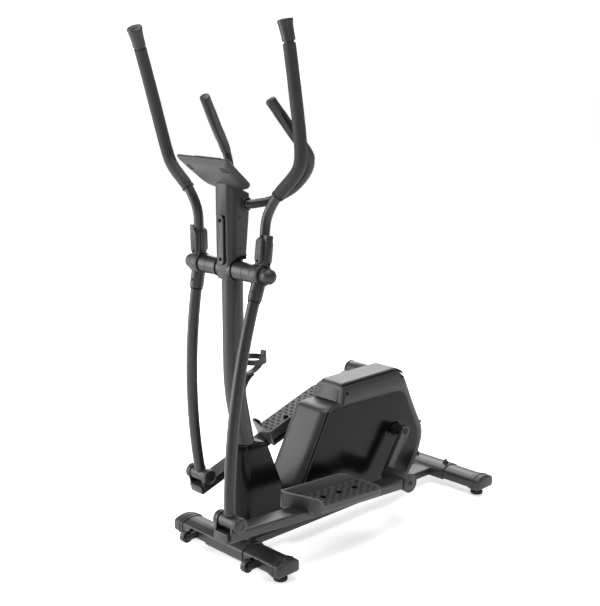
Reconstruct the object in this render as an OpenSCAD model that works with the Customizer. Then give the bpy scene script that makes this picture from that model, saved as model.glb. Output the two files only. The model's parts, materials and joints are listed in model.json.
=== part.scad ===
// Elliptical trainer: a floor-standing cross trainer with swing arms, pedal links and a braked flywheel.
// Axes: +X is the mast end, +Y is the user's left, +Z is up. The origin is on the floor under the middle.

/* [Base] */
// Distance between the two stabilizers
wheel_base = 941.6; // [930:0.1:950]
// Overall length of a stabilizer with its end caps
stab_length = 490; // [480:1:500]
// Width of a stabilizer tube, front to back
stab_width = 82; // [78:1:84]
// Height of the stabilizer crown above the floor
stab_top = 70; // [68:1:72]
// Spacing of the levelling feet from the middle
foot_spread = 207; // [200:1:212]
// Diameter of a levelling foot
foot_d = 42; // [38:1:44]
// Diameter of the transport wheels
transport_d = 40; // [36:1:42]

/* [Mast] */
// Outer diameter of the mast tube
mast_d = 63; // [60:1:64]
// Height at which the mast bends upright
mast_bend_z = 545; // [540:1:550]
// Backward lean of the lower mast in degrees
mast_lean = 11.3; // [11:0.1:11.6]

/* [Swing arms] */
// Height of the cross axle above the floor
axle_z = 901.8; // [901:0.1:903]
// Distance from the cross axle to the lower pivot
arm_r = 692.2; // [691:0.1:693]
// Forward bow of the lower arm tube
arm_bow = 33; // [28:1:36]
// Distance of an arm from the middle at the cross axle
arm_y = 135; // [134:1:136]
// Outer diameter of the lower arm tube
arm_d = 34; // [32:1:35]
// Outer diameter of the upper handlebar tube
bar_d = 29; // [28:0.5:30]
// Outer diameter of the foam grips
grip_d = 36; // [34:1:37]

/* [Foot drive] */
// Crank throw
crank_r = 158; // [156:1:159]
// Height of the crank axle above the floor
crank_z = 275; // [274:1:276]
// Crank position of the left side, measured forward from straight down, in degrees
crank_angle = 35.7; // [30:0.1:40]
// Distance from the front pivot to the rear pin of a pedal link
link_len = 743; // [741:1:745]
// Distance of a pedal link from the middle
link_y = 190; // [189:1:190]
// Width of the pedal link tube
link_w = 60; // [58:1:60]
// Height of the pedal link tube
link_h = 30; // [28:1:31]

/* [Brake] */
// Radius of the flywheel
flywheel_r = 112; // [106:1:114]
// Radius of the drive pulley
pulley_r = 106; // [100:1:108]
// Radius of the small pulley on the flywheel
small_pulley_r = 22; // [20:1:24]

/* [Console] */
// Tilt of the console from level in degrees
console_tilt = 38.25; // [36:0.25:40]
// Console width
console_w = 220; // [216:1:224]
// Console length along its slope
console_l = 142; // [140:1:146]

/* [Hidden] */

$fn = 48;
run_fit = 0.06;    // radial clearance of a running fit
gap = 0.5;         // clearance between pieces that pass each other

// Places along X
front_x = 386;
rear_x = front_x - wheel_base;
axle_x = 389.4;
mast_x = 378;
crank_x = -268;
flywheel_x = -20;
flywheel_z = 250;

// Stabilizers
stab_bottom = 28;
stab_edge = 59;
stab_wall = 2.5;
cap_len = 44;
crown_r = (pow(stab_width / 2, 2) + pow(stab_top - stab_edge, 2)) / (2 * (stab_top - stab_edge));
saddle_half = 85;
saddle_wall = 3;
bolt_y = 67;
foot_h = 13;
stem_r = 5;
transport_x = front_x + 73;
transport_y = 142;
transport_z = 46;
transport_w = 20;
transport_pin_r = 4;

// Main rail
rail_half = 35;
rail_z0 = 31;
rail_z1 = 57;
rail_wall = 3;

// Mast
mast_wall = 2.5;
mast_foot_z = rail_z1 + 7;
mast_foot_x = mast_x - (mast_bend_z - mast_foot_z) * tan(mast_lean);
mast_top = 1062;

// Cross axle and hubs
cross_r = 27;
cross_half = 80;
axle_r = 10;
hub_in = cross_half + gap;
hub_out = 150;
bush_r = 15;
dome_r = 23;
dome_y = 168;

// Swing arm tube, as an arc of a circle in a plane that splays outward
arm_drop_y = link_y - arm_y;
splay = atan(arm_drop_y / arm_r);
arm_chord = norm([arm_r, arm_drop_y]);
bow_r = (pow(arm_chord / 2, 2) + pow(arm_bow, 2)) / (2 * arm_bow);
bow_half = asin(arm_chord / 2 / bow_r);
barrel_r = 21;
barrel_half = 28.5;
pin_r = 10;

// Pedal link
cheek_t = 8;
cheek_r = 24;
cap_t = 12;
tube_drop = 38;
tube_nose = 30;
link_wall = 2.5;
crank_in = 108;
crank_out = 122;
pin_housing_r = 30;
pin_in = crank_out + gap + 0.1;
pin_disc_y = 219;
pin_disc_t = 5;
pin_disc_r = 31;

// Closing the linkage: the lower pivot lies on the arm's circle and on the link's circle
function pin_of(a) = [crank_x + crank_r * sin(a), crank_z - crank_r * cos(a)];
function pivot_of(pin) =
  let (d = [axle_x, axle_z] - pin, dist = norm(d), u = d / dist,
       along = (pow(link_len, 2) - pow(arm_r, 2) + pow(dist, 2)) / (2 * dist),
       across = sqrt(pow(link_len, 2) - pow(along, 2)))
  pin + along * u + across * [u[1], -u[0]];
left_pin = pin_of(crank_angle);
right_pin = pin_of(crank_angle + 180);
left_pivot = pivot_of(left_pin);
right_pivot = pivot_of(right_pin);
function arm_tilt(pivot) = atan2(pivot[0] - axle_x, axle_z - pivot[1]);
function link_tilt(pivot, pin) = atan2(pivot[1] - pin[1], pivot[0] - pin[0]);
left_arm_tilt = arm_tilt(left_pivot);
right_arm_tilt = arm_tilt(right_pivot);
left_link_tilt = link_tilt(left_pivot, left_pin);
right_link_tilt = link_tilt(right_pivot, right_pin);

// Smooth curve through hand-placed points
function spline_at(p, i, t) =
  let (a = p[max(i - 1, 0)], b = p[i], c = p[i + 1], d = p[min(i + 2, len(p) - 1)])
  0.5 * (2 * b + (c - a) * t + (2 * a - 5 * b + 4 * c - d) * t * t + (3 * b - a - 3 * c + d) * t * t * t);
function spline(p, steps) =
  concat([for (i = [0 : len(p) - 2], k = [0 : steps - 1]) spline_at(p, i, k / steps)], [p[len(p) - 1]]);
function unit(v) = v / norm(v);
function tangent(p, i) = unit(p[min(i + 1, len(p) - 1)] - p[max(i - 1, 0)]);
function slice(p, a, b) = [for (i = [a : b]) p[i]];

// Closed tube skin swept along points; radii is one value for each point
module sweep(points, radii, ref, sides = 16) {
  n = len(points);
  rings = [for (i = [0 : n - 1])
    let (t = tangent(points, i), u = unit(cross(t, ref)), v = cross(t, u))
    [for (k = [0 : sides - 1]) points[i] + radii[i] * (cos(360 * k / sides) * u + sin(360 * k / sides) * v)]];
  skin = [for (i = [0 : n - 2], k = [0 : sides - 1])
    let (a = i * sides + k, b = i * sides + (k + 1) % sides)
    [a, a + sides, b + sides, b]];
  first = [[for (k = [0 : sides - 1]) k]];
  last = [[for (k = [sides - 1 : -1 : 0]) (n - 1) * sides + k]];
  polyhedron([for (ring = rings, q = ring) q], concat(skin, first, last), convexity = 6);
}
function same(points, r) = [for (q = points) r];

// Upper handlebar route in the arm's own frame
bar_points = [[0, 135, 33], [1, 129, 75], [3, 125, 115], [6, 124, 165], [10, 156, 226], [17, 212, 280],
  [22, 234, 335], [66, 220, 480], [115, 203, 630], [130, 197, 668]];
bar_steps = 3;
bar_curve = spline(bar_points, bar_steps);
grip_from = 4 * bar_steps;
grip_to = 8 * bar_steps;
cap_points = [[115.5, 202.8, 631], [122, 200, 648], [129, 197, 665], [134, 195, 679], [135.5, 194.3, 683]];
cap_radii = [19, 19.5, 21, 22.5, 20];

// Pulse bar route, left half
pulse_points = [[351, 0, 1088], [351, 34, 1088], [332, 58, 1091], [296, 92, 1103], [254, 145, 1146],
  [241, 180, 1215], [293, 164, 1295], [353, 141, 1382]];
pulse_steps = 4;
pulse_curve = spline(pulse_points, pulse_steps);
pulse_r = 12.7;
pulse_grip_r = 16.5;
pulse_grip_from = 5 * pulse_steps;
pulse_grip_to = 7 * pulse_steps;

// Console frame: origin in the middle of the top face
console_x = 427.5;
console_z = 1187;
console_t = 26;
console_corner = 14;

// Casing outlines in side view: where the crowned edge starts, and the flat side face
casing_edge_y = 44;
casing_face_y = 70;
casing_wall = 3;
main_edge = [[-30, 466], [-301, 466], [-335, 445], [-381, 341], [-440, 228], [-417, 155], [-367, 90],
  [-340, 60], [0, 60]];
main_face = [[-28, 436], [-288, 436], [-312, 420], [-354, 331], [-409, 228], [-390, 162], [-345, 100],
  [-325, 60], [0, 60]];
front_edge = [[63, 408], [44, 415], [-40, 415], [-40, 60], [198, 60], [198, 160]];
front_face = [[50, 399], [36, 405], [-40, 405], [-40, 60], [172, 60], [168, 190]];
trim_from = -34;
trim_top = 472;
axle_hole_r = 24;

module left_right() {
  children();
  mirror([0, 1, 0]) children();
}
module along_y(x, y0, y1, z, r) {
  translate([x, y1, z]) rotate([90, 0, 0]) cylinder(r = r, h = y1 - y0);
}
module slab(outline, y0, y1) {
  translate([0, y1, 0]) rotate([90, 0, 0]) linear_extrude(y1 - y0) polygon(outline);
}
module box(from, to) {
  translate(from) cube(to - from);
}
module arm_place(side) {
  tilt = side > 0 ? left_arm_tilt : right_arm_tilt;
  translate([axle_x, 0, axle_z]) rotate([0, -tilt, 0]) mirror([0, side > 0 ? 0 : 1, 0]) children();
}
module link_place(side) {
  pivot = side > 0 ? left_pivot : right_pivot;
  tilt = side > 0 ? left_link_tilt : right_link_tilt;
  translate([pivot[0], 0, pivot[1]]) rotate([0, -tilt, 0]) mirror([0, side > 0 ? 0 : 1, 0]) children();
}
module crank_place(side) {
  translate([crank_x, 0, crank_z]) rotate([0, -crank_angle - (side > 0 ? 0 : 180), 0])
    mirror([0, side > 0 ? 0 : 1, 0]) children();
}
module console_place() {
  translate([console_x, 0, console_z]) rotate([0, -console_tilt, 0]) children();
}

// ---- Base ----
module stab_profile(grow) {
  intersection() {
    translate([-stab_width / 2 - grow, stab_bottom - grow]) square([stab_width + 2 * grow, 60]);
    translate([0, stab_top - crown_r]) circle(r = crown_r + grow, $fn = 96);
  }
}
module stab_run(x, half, grow) {
  translate([x, half, 0]) rotate([90, 0, 0]) linear_extrude(2 * half) stab_profile(grow);
}
module foot_holes(x) {
  left_right() translate([x, foot_spread, 0]) cylinder(r = stem_r + run_fit, h = 50);
}
module stabilizer(x) {
  half = stab_length / 2 - 4;
  difference() {
    stab_run(x, half, 0);
    stab_run(x, half + 1, -stab_wall);
    foot_holes(x);
  }
}
module saddle(x) {
  difference() {
    stab_run(x, saddle_half, saddle_wall);
    stab_run(x, saddle_half + 1, 0.05);
    box([x - 60, -100, 0], [x + 60, 100, rail_z0]);
  }
}
module main_rail() {
  rail_from = rear_x + stab_width / 2 + 0.05;
  rail_to = front_x - stab_width / 2 - 0.05;
  color([0.13, 0.13, 0.13]) difference() {
    union() {
      saddle(front_x);
      saddle(rear_x);
      box([rail_from, -rail_half, rail_z0], [rail_to, rail_half, rail_z1]);
    }
    box([rail_from - 5, -rail_half + rail_wall, rail_z0 + rail_wall],
      [rail_to + 5, rail_half - rail_wall, rail_z1 - rail_wall]);
  }
}
module front_stabilizer() {
  face_x = front_x + stab_width / 2;
  color([0.14, 0.14, 0.14]) union() {
    stabilizer(front_x);
    left_right() {
      for (y = [transport_y - transport_w / 2 - 5, transport_y + transport_w / 2 + 1]) {
        box([face_x - 1, y, 36], [transport_x + 9, y + 4, 58]);
      }
      along_y(transport_x, transport_y - 15, transport_y + 15, transport_z, transport_pin_r);
    }
  }
}
module rear_stabilizer() {
  color([0.14, 0.14, 0.14]) stabilizer(rear_x);
}
module end_cap(x) {
  difference() {
    translate([x, stab_length / 2, 0]) rotate([90, 0, 0]) linear_extrude(cap_len) stab_profile(2);
    translate([x, stab_length / 2 - 4, 0]) rotate([90, 0, 0]) linear_extrude(cap_len) stab_profile(0.05);
    translate([x, foot_spread, 0]) cylinder(r = stem_r + 2, h = 40);
  }
}
module stabilizer_end_caps() {
  color([0.10, 0.10, 0.10]) left_right() {
    end_cap(front_x);
    end_cap(rear_x);
  }
}
module frame_bolt(x, y) {
  translate([x, y, stab_top + saddle_wall]) {
    cylinder(r = 11, h = 2.5);
    cylinder(r = 8, h = 10, $fn = 6);
    translate([0, 0, 9]) sphere(r = 6.5);
  }
}
module frame_bolts() {
  color([0.2, 0.2, 0.2]) left_right() {
    frame_bolt(front_x, bolt_y);
    frame_bolt(rear_x, bolt_y);
  }
}
module foot(x, side) {
  translate([x, side * foot_spread, 0]) {
    cylinder(r = foot_d / 2 - 2, h = 3);
    translate([0, 0, 2]) cylinder(r = foot_d / 2, h = foot_h - 4);
    cylinder(r = 13, h = foot_h + 6);
    cylinder(r = stem_r, h = 48);
  }
}
module foot_front_left() {
  color([0.08, 0.08, 0.08]) foot(front_x, 1);
}
module foot_front_right() {
  color([0.08, 0.08, 0.08]) foot(front_x, -1);
}
module foot_rear_left() {
  color([0.08, 0.08, 0.08]) foot(rear_x, 1);
}
module foot_rear_right() {
  color([0.08, 0.08, 0.08]) foot(rear_x, -1);
}
module transport_wheel(side) {
  half = transport_w / 2;
  y = side * transport_y;
  difference() {
    along_y(transport_x, y - half, y + half, transport_z, transport_d / 2);
    along_y(transport_x, y - half - 1, y + half + 1, transport_z, transport_pin_r + run_fit);
  }
}
module transport_wheel_left() {
  color([0.12, 0.12, 0.12]) transport_wheel(1);
}
module transport_wheel_right() {
  color([0.12, 0.12, 0.12]) transport_wheel(-1);
}

// ---- Mast ----
module mast_low(r, past) {
  translate([mast_foot_x, 0, mast_foot_z]) rotate([0, mast_lean, 0]) translate([0, 0, -20])
    cylinder(r = r, h = (mast_bend_z - mast_foot_z) / cos(mast_lean) + 20 + past);
}
module mast_high(r, from, short) {
  translate([mast_x, 0, mast_bend_z + from]) cylinder(r = r, h = mast_top - mast_bend_z - from - short);
}
// Half space above or below the mitre of the bend
module bend_side(up) {
  translate([mast_x, 0, mast_bend_z]) rotate([0, mast_lean / 2, 0])
    translate([-300, -100, up ? 0 : -900]) cube([600, 200, 900]);
}
module mast_solid(r) {
  difference() {
    mast_low(r, 40);
    bend_side(true);
    box([0, -100, 0], [600, 100, mast_foot_z]);
  }
  difference() {
    mast_high(r, -40, 0);
    bend_side(false);
  }
}
module mast() {
  post_x = console_x - 28;
  bore_r = mast_d / 2 - mast_wall;
  color([0.13, 0.13, 0.13]) difference() {
    union() {
      difference() {
        union() {
          mast_solid(mast_d / 2);
          box([mast_foot_x - 50, -rail_half, rail_z1], [mast_foot_x + 50, rail_half, mast_foot_z + 10]);
          box([post_x - 18, -20, mast_top - 5], [post_x + 8, 20, 1126]);
        }
        mast_low(bore_r, -20);
        mast_high(bore_r, 20, 6);
        translate([mast_x - 40, 0, mast_bend_z + 45]) rotate([0, 90, 0]) cylinder(r = 4, h = 30);
      }
      along_y(axle_x, -cross_half, cross_half, axle_z, cross_r);
    }
    along_y(axle_x, -cross_half - 1, cross_half + 1, axle_z, axle_r);
  }
}
base_outline = [[384, 60], [384, 352], [374, 362], [282, 362], [278, 346], [199.5, 158], [199.5, 60]];
base_inner = [[381, 50], [381, 350], [373, 359], [285, 359], [281, 345], [202.5, 157], [202.5, 50]];
base_column_x = 343;
base_column_r = 41;
module base_solid(outline, r) {
  intersection() {
    union() {
      translate([base_column_x, 0, 40]) cylinder(r = r, h = 340);
      box([150, -r, 40], [base_column_x, r, 380]);
    }
    slab(outline, -60, 60);
  }
}
module base_cover(side) {
  difference() {
    base_solid(base_outline, base_column_r);
    base_solid(base_inner, base_column_r - 3);
    mast_solid(mast_d / 2 + 0.3);
    stab_run(front_x, saddle_half + 5, saddle_wall + 0.3);
    box([100, side > 0 ? -80 : 0, 0], [420, side > 0 ? 0 : 80, 400]);
    along_y(252, -80, 80, 248, 4);
  }
}
module base_cover_left() {
  color([0.05, 0.05, 0.05]) base_cover(1);
}
module base_cover_right() {
  color([0.05, 0.05, 0.05]) base_cover(-1);
}
module cross_axle() {
  color([0.5, 0.5, 0.5]) along_y(axle_x, -hub_out - 1, hub_out + 1, axle_z, axle_r);
}
module axle_bush(y0, y1) {
  difference() {
    along_y(axle_x, y0, y1, axle_z, bush_r);
    along_y(axle_x, y0 - 1, y1 + 1, axle_z, axle_r);
  }
}
module axle_bushes() {
  color([0.6, 0.5, 0.3]) left_right() {
    axle_bush(hub_in + gap, hub_in + 22);
    axle_bush(hub_out - 22, hub_out - gap);
  }
}
module dome_caps() {
  color([0.06, 0.06, 0.06]) left_right() difference() {
    union() {
      along_y(axle_x, hub_out + gap, dome_y, axle_z, dome_r);
      translate([axle_x, dome_y, axle_z]) sphere(r = dome_r);
    }
    along_y(axle_x, hub_out - 10, hub_out + gap, axle_z, dome_r + 1);
    along_y(axle_x, hub_out - 10, hub_out + 1.1, axle_z, axle_r);
  }
}
upper_outline = [[332, 938], [332, 1079], [421, 1148.5], [421, 872], [408, 872], [403, 932]];
module upper_plan(grow) {
  polygon([[332 - grow, -28 - grow], [338 - grow, -34 - grow], [402, -34 - grow], [421 + grow, -20],
    [421 + grow, 20], [402, 34 + grow], [338 - grow, 34 + grow], [332 - grow, 28 + grow]]);
}
module upper_cover(side) {
  difference() {
    intersection() {
      translate([0, 0, 850]) linear_extrude(320) upper_plan(0);
      slab(upper_outline, -60, 60);
    }
    translate([0, 0, 840]) linear_extrude(400) upper_plan(-3);
    mast_solid(mast_d / 2 + 0.3);
    along_y(axle_x, -90, 90, axle_z, cross_r + 0.3);
    along_y(351, -90, 90, 1088, pulse_r + 1.2);
    box([300, side > 0 ? -80 : 0, 800], [500, side > 0 ? 0 : 80, 1200]);
  }
}
module upper_cover_left() {
  color([0.15, 0.15, 0.15]) upper_cover(1);
}
module upper_cover_right() {
  color([0.15, 0.15, 0.15]) upper_cover(-1);
}
inlay_low = 905;
inlay_high = 1058;
inlay_r = 11;
module cover_inlay() {
  color([0.2, 0.2, 0.2]) difference() {
    union() {
      translate([421, 0, inlay_low]) rotate([0, 90, 0]) cylinder(r = inlay_r, h = 3);
      translate([421, 0, inlay_high]) rotate([0, 90, 0]) cylinder(r = inlay_r, h = 3);
      box([421, -inlay_r, inlay_low], [424, inlay_r, inlay_high]);
    }
    for (z = [inlay_low + 4, inlay_high - 4]) {
      translate([422, 0, z]) rotate([0, 90, 0]) cylinder(r = 3, h = 4);
    }
  }
}
holder_x = 300;
holder_r = 40;
module bottle_holder() {
  hook = [[346, 634], [346, 514], [334, 514], [328, 545], [296, 563], [262, 598], [254, 622], [258, 636],
    [264, 636], [264, 620], [271, 603], [292, 584], [334, 566], [334, 634]];
  color([0.03, 0.03, 0.03]) difference() {
    union() {
      slab(hook, -11, 11);
      translate([holder_x, 0, 604]) cylinder(r = holder_r, h = 16);
    }
    translate([holder_x, 0, 603]) cylinder(r = holder_r - 4, h = 60);
    mast_solid(mast_d / 2 + 0.1);
    box([200, -16, 600], [holder_x - 20, -11, 640]);
    box([200, 11, 600], [holder_x - 20, 16, 640]);
  }
}

// ---- Console ----
module round_plate(l, w, r, z0, z1) {
  translate([0, 0, z0]) linear_extrude(z1 - z0) union() {
    square([l - 2 * r, w], center = true);
    square([l, w - 2 * r], center = true);
    for (sx = [-1, 1], sy = [-1, 1]) {
      translate([sx * (l / 2 - r), sy * (w / 2 - r)]) circle(r = r);
    }
  }
}
button_x = -50;
button_r = 8;
button_pitch = 46;
module console_housing() {
  color([0.16, 0.16, 0.16]) difference() {
    union() {
      console_place() {
        round_plate(console_l, console_w, console_corner, -console_t, 0);
        translate([10, 0, 0]) round_plate(70, 90, 10, -console_t - 10, -console_t + 1);
        box([48, -58, -1], [52, 58, 11]);
      }
    }
    console_place() {
      round_plate(62, 122, 5, -4, 1);
      for (k = [-1 : 1]) {
        translate([button_x, k * button_pitch, -8]) cylinder(r = button_r + 0.4, h = 20);
      }
    }
    box([370, -23, 1050], [408, 23, 1126.5]);
  }
}
module console_display() {
  color([0.02, 0.03, 0.04]) console_place() round_plate(61.6, 121.6, 4.8, -3.9, -1);
}
module button(k) {
  console_place() translate([button_x, k * button_pitch, 0]) {
    translate([0, 0, -6]) cylinder(r = button_r, h = 8);
  }
}
module button_mode() {
  color([0.3, 0.3, 0.3]) button(0);
}
module button_up() {
  color([0.3, 0.3, 0.3]) button(1);
}
module button_down() {
  color([0.3, 0.3, 0.3]) button(-1);
}

// ---- Pulse bar ----
pulse_ref = [1, 0, -0.6];
module pulse_half(r, from, to) {
  part = slice(pulse_curve, from, to);
  sweep(part, same(part, r), pulse_ref);
}
module pulse_bar() {
  right_half = [
    for (i = [len(pulse_curve) - 1 : -1 : 1])
      [pulse_curve[i][0], -pulse_curve[i][1], pulse_curve[i][2]]
  ];
  whole = concat(right_half, pulse_curve);
  color([0.1, 0.1, 0.1]) sweep(whole, same(whole, pulse_r), pulse_ref);
}
module pulse_grips() {
  color([0.06, 0.06, 0.06]) left_right() difference() {
    part = slice(pulse_curve, pulse_grip_from, pulse_grip_to);
    tip = part[len(part) - 1];
    over = tip + 6 * tangent(part, len(part) - 1);
    whole = concat(part, [over]);
    sweep(whole, same(whole, pulse_grip_r), pulse_ref);
    pulse_half(pulse_r + 0.1, pulse_grip_from - 1, pulse_grip_to);
  }
}
module pulse_sensors() {
  color([0.45, 0.45, 0.45]) left_right() difference() {
    pulse_half(pulse_grip_r + 1, pulse_grip_from + 2, pulse_grip_from + 7);
    pulse_half(pulse_grip_r + 0.05, pulse_grip_from + 1, pulse_grip_to);
    box([150, 150, 1200], [400, 163, 1400]);
  }
}

// ---- Swing arms ----
module arm(side) {
  arm_place(side) difference() {
    union() {
      along_y(0, hub_in, hub_out, 0, cross_r);
      translate([0, arm_y, 0]) rotate([splay, 0, 0]) translate([arm_bow - bow_r, 0, -arm_chord / 2])
        rotate([90, 0, 0]) rotate([0, 0, -bow_half]) rotate_extrude(angle = 2 * bow_half, $fn = 96)
        translate([bow_r, 0]) circle(d = arm_d, $fn = 48);
      along_y(0, link_y - barrel_half, link_y + barrel_half, -arm_r, barrel_r);
      translate([0, arm_y, 15]) cylinder(r = 17, h = 16);
    }
    along_y(0, hub_in - 1, hub_out + 1, 0, bush_r + run_fit);
    along_y(0, hub_out, hub_out + 10, 0, dome_r + 1.5);
    along_y(0, link_y - 40, link_y + 40, -arm_r, pin_r + run_fit);
  }
}
module left_arm() {
  color([0.13, 0.13, 0.13]) arm(1);
}
module right_arm() {
  color([0.13, 0.13, 0.13]) arm(-1);
}
bar_ref = [1, 0.2, 0];
module handlebar(side) {
  arm_place(side) sweep(bar_curve, same(bar_curve, bar_d / 2), bar_ref);
}
module left_handlebar() {
  color([0.13, 0.13, 0.13]) handlebar(1);
}
module right_handlebar() {
  color([0.13, 0.13, 0.13]) handlebar(-1);
}
module grip(side) {
  foam = slice(bar_curve, grip_from, grip_to);
  hole = slice(bar_curve, grip_from - 1, grip_to + 1);
  arm_place(side) difference() {
    sweep(foam, same(foam, grip_d / 2), bar_ref);
    sweep(hole, same(hole, bar_d / 2 + 0.1), bar_ref);
  }
}
module left_grip() {
  color([0.05, 0.05, 0.05]) grip(1);
}
module right_grip() {
  color([0.05, 0.05, 0.05]) grip(-1);
}
module handle_cap(side) {
  hole = slice(bar_curve, grip_to - 1, len(bar_curve) - 1);
  arm_place(side) difference() {
    sweep(cap_points, cap_radii, bar_ref);
    sweep(hole, same(hole, bar_d / 2 + 0.1), bar_ref);
  }
}
module left_handle_cap() {
  color([0.1, 0.1, 0.1]) handle_cap(1);
}
module right_handle_cap() {
  color([0.1, 0.1, 0.1]) handle_cap(-1);
}
hub_cover_low = 29;
hub_cover_high = 113;
module hub_cover(side) {
  hole = slice(bar_curve, 0, 9);
  arm_place(side) difference() {
    translate([1, arm_y - 5, 0]) round_plate(42, 46, 9, hub_cover_low, hub_cover_high);
    sweep(hole, same(hole, bar_d / 2 + 0.1), bar_ref);
    translate([0, arm_y, 20]) cylinder(r = 17.1, h = 14.1);
  }
}
module left_hub_cover() {
  color([0.1, 0.1, 0.1]) hub_cover(1);
}
module right_hub_cover() {
  color([0.1, 0.1, 0.1]) hub_cover(-1);
}

// ---- Foot drive ----
tube_slope = atan(tube_drop / link_len);
module link(side) {
  link_place(side) difference() {
    union() {
      translate([0, 0, -tube_drop]) rotate([0, tube_slope, 0])
        box([-link_len + 24, link_y - link_w / 2, -link_h / 2], [tube_nose, link_y + link_w / 2, link_h / 2]);
      for (y = [link_y - link_w / 2 - cheek_t + 1, link_y + link_w / 2 - 1]) {
        along_y(0, y, y + cheek_t, 0, cheek_r);
        box([-cheek_r, y, -tube_drop - 12], [cheek_r, y + cheek_t, 0]);
      }
      along_y(-link_len, pin_in, pin_disc_y, 0, pin_housing_r);
      along_y(-link_len, pin_disc_y - 1, pin_disc_y + pin_disc_t, 0, pin_disc_r);
    }
    along_y(0, 100, 260, 0, pin_r);
    translate([0, 0, -tube_drop]) rotate([0, tube_slope, 0]) {
      box([-link_len + 60, link_y - link_w / 2 + link_wall, -link_h / 2 + link_wall],
        [tube_nose - link_wall, link_y + link_w / 2 - link_wall, link_h / 2 - link_wall]);
      translate([-120, link_y, -link_h]) cylinder(r = 4, h = link_h);
    }
  }
}
module left_link() {
  color([0.13, 0.13, 0.13]) link(1);
}
module right_link() {
  color([0.13, 0.13, 0.13]) link(-1);
}
module link_fasteners(side) {
  inner = link_y - link_w / 2 - cheek_t;
  outer = link_y + link_w / 2 + cheek_t;
  link_place(side) {
    along_y(0, inner - 6, outer + 6, 0, pin_r);
    along_y(0, outer - 1, outer + cap_t, 0, cheek_r);
    along_y(0, inner - cap_t, inner + 1, 0, cheek_r);
    translate([0, 0, -tube_drop]) rotate([0, tube_slope, 0]) {
      for (x = pedal_bolts) {
        translate([x, link_y - 6, link_h / 2 + plate_t + 0.5]) cylinder(r = 9, h = 4);
      }
    }
  }
}
module left_link_fasteners() {
  color([0.3, 0.3, 0.3]) link_fasteners(1);
}
module right_link_fasteners() {
  color([0.3, 0.3, 0.3]) link_fasteners(-1);
}
// Pedal, in the frame of the sloping link tube; x is measured back from the front pivot
pedal_front = -258;
pedal_rear = -600;
pedal_in = 124;
pedal_out = 243;
plate_t = 8;
rim_t = 5;
guard_h = 42;
toe_h = 30;
pedal_bolts = [-380, -450, -520];
module pedal(side) {
  plan = [[pedal_front - 30, pedal_out], [pedal_front, pedal_in + 20], [pedal_front, pedal_in],
    [pedal_rear, pedal_in], [pedal_rear, pedal_out - 22], [pedal_rear + 22, pedal_out]];
  guard = [[pedal_front, -19], [pedal_front, 20], [pedal_front - 26, guard_h], [-530, guard_h], [pedal_rear, 6],
    [pedal_rear, -19]];
  link_place(side) translate([0, 0, -tube_drop]) rotate([0, tube_slope, 0]) translate([0, 0, link_h / 2])
    difference() {
      union() {
        translate([0, 0, 0.5]) linear_extrude(plate_t) polygon(plan);
        translate([0, 0, -14]) linear_extrude(14.6) difference() {
          polygon(plan);
          box_plan(pedal_rear - 1, link_y - link_w / 2 - 1, pedal_front + 1, link_y + link_w / 2 + 1);
          box_plan(pedal_rear + 30, pedal_in + rim_t, pedal_front - 40, pedal_out - rim_t);
        }
        slab(guard, pedal_in, pedal_in + rim_t);
        translate([0, 0, 0.5]) linear_extrude(toe_h) polygon([[pedal_front - 30, pedal_out],
          [pedal_front, pedal_in + 20], [pedal_front, pedal_in], [pedal_front - rim_t, pedal_in],
          [pedal_front - rim_t, pedal_in + 19], [pedal_front - 30 - rim_t, pedal_out]]);
      }
      for (x = pedal_bolts) {
        translate([x, link_y - 6, -20]) cylinder(r = 4, h = 60);
      }
    }
}
module box_plan(x0, y0, x1, y1) {
  translate([x0, y0]) square([x1 - x0, y1 - y0]);
}
module left_pedal() {
  color([0.18, 0.18, 0.18]) pedal(1);
}
module right_pedal() {
  color([0.18, 0.18, 0.18]) pedal(-1);
}
module crank(side) {
  crank_place(side) difference() {
    union() {
      along_y(0, crank_in, crank_out, 0, 18);
      along_y(0, crank_in - 26, crank_in + 1, 0, 17);
      box([-15, crank_in, -crank_r], [15, crank_out, 0]);
      along_y(0, crank_in, crank_out, -crank_r, 15);
    }
    along_y(0, 60, crank_out - 5, 0, axle_r);
  }
}
module left_crank() {
  color([0.16, 0.16, 0.16]) crank(1);
}
module right_crank() {
  color([0.16, 0.16, 0.16]) crank(-1);
}

// ---- Drive and brake ----
belt_y0 = 12;
idler_pivot = [-255, 120];
belt_y1 = 28;
shell_y0 = -46;
shell_y1 = 4;
bearing_r = 21;
bearing_w = 12;
module crank_post() {
  color([0.13, 0.13, 0.13]) difference() {
    union() {
      along_y(crank_x, shell_y0, shell_y1, crank_z, bearing_r + 5);
      box([crank_x - 25, shell_y0 + 6, rail_z1], [crank_x + 25, shell_y1 - 6, crank_z]);
    }
    along_y(crank_x, shell_y0 - 1, shell_y1 + 1, crank_z, bearing_r);
    along_y(idler_pivot[0], -24, 0, idler_pivot[1], idler_pin_r + run_fit);
  }
}
module crank_bearing(y) {
  difference() {
    along_y(crank_x, y, y + bearing_w, crank_z, bearing_r);
    along_y(crank_x, y - 1, y + bearing_w + 1, crank_z, axle_r + run_fit);
  }
}
module crank_bearings() {
  color([0.6, 0.6, 0.62]) {
    crank_bearing(shell_y0);
    crank_bearing(shell_y1 - bearing_w);
  }
}
module drive_pulley() {
  color([0.2, 0.2, 0.2]) difference() {
    union() {
      along_y(crank_x, belt_y0 - 3, belt_y0, crank_z, pulley_r + 4);
      along_y(crank_x, belt_y0 - 1, belt_y1 + 1, crank_z, pulley_r);
      along_y(crank_x, belt_y1, belt_y1 + 3, crank_z, pulley_r + 4);
      along_y(crank_x, -crank_out + 5, crank_out - 5, crank_z, axle_r);
    }
    for (k = [0 : 5]) {
      a = 60 * k;
      along_y(crank_x + 62 * cos(a), 0, 60, crank_z + 62 * sin(a), 24);
    }
  }
}
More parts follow.
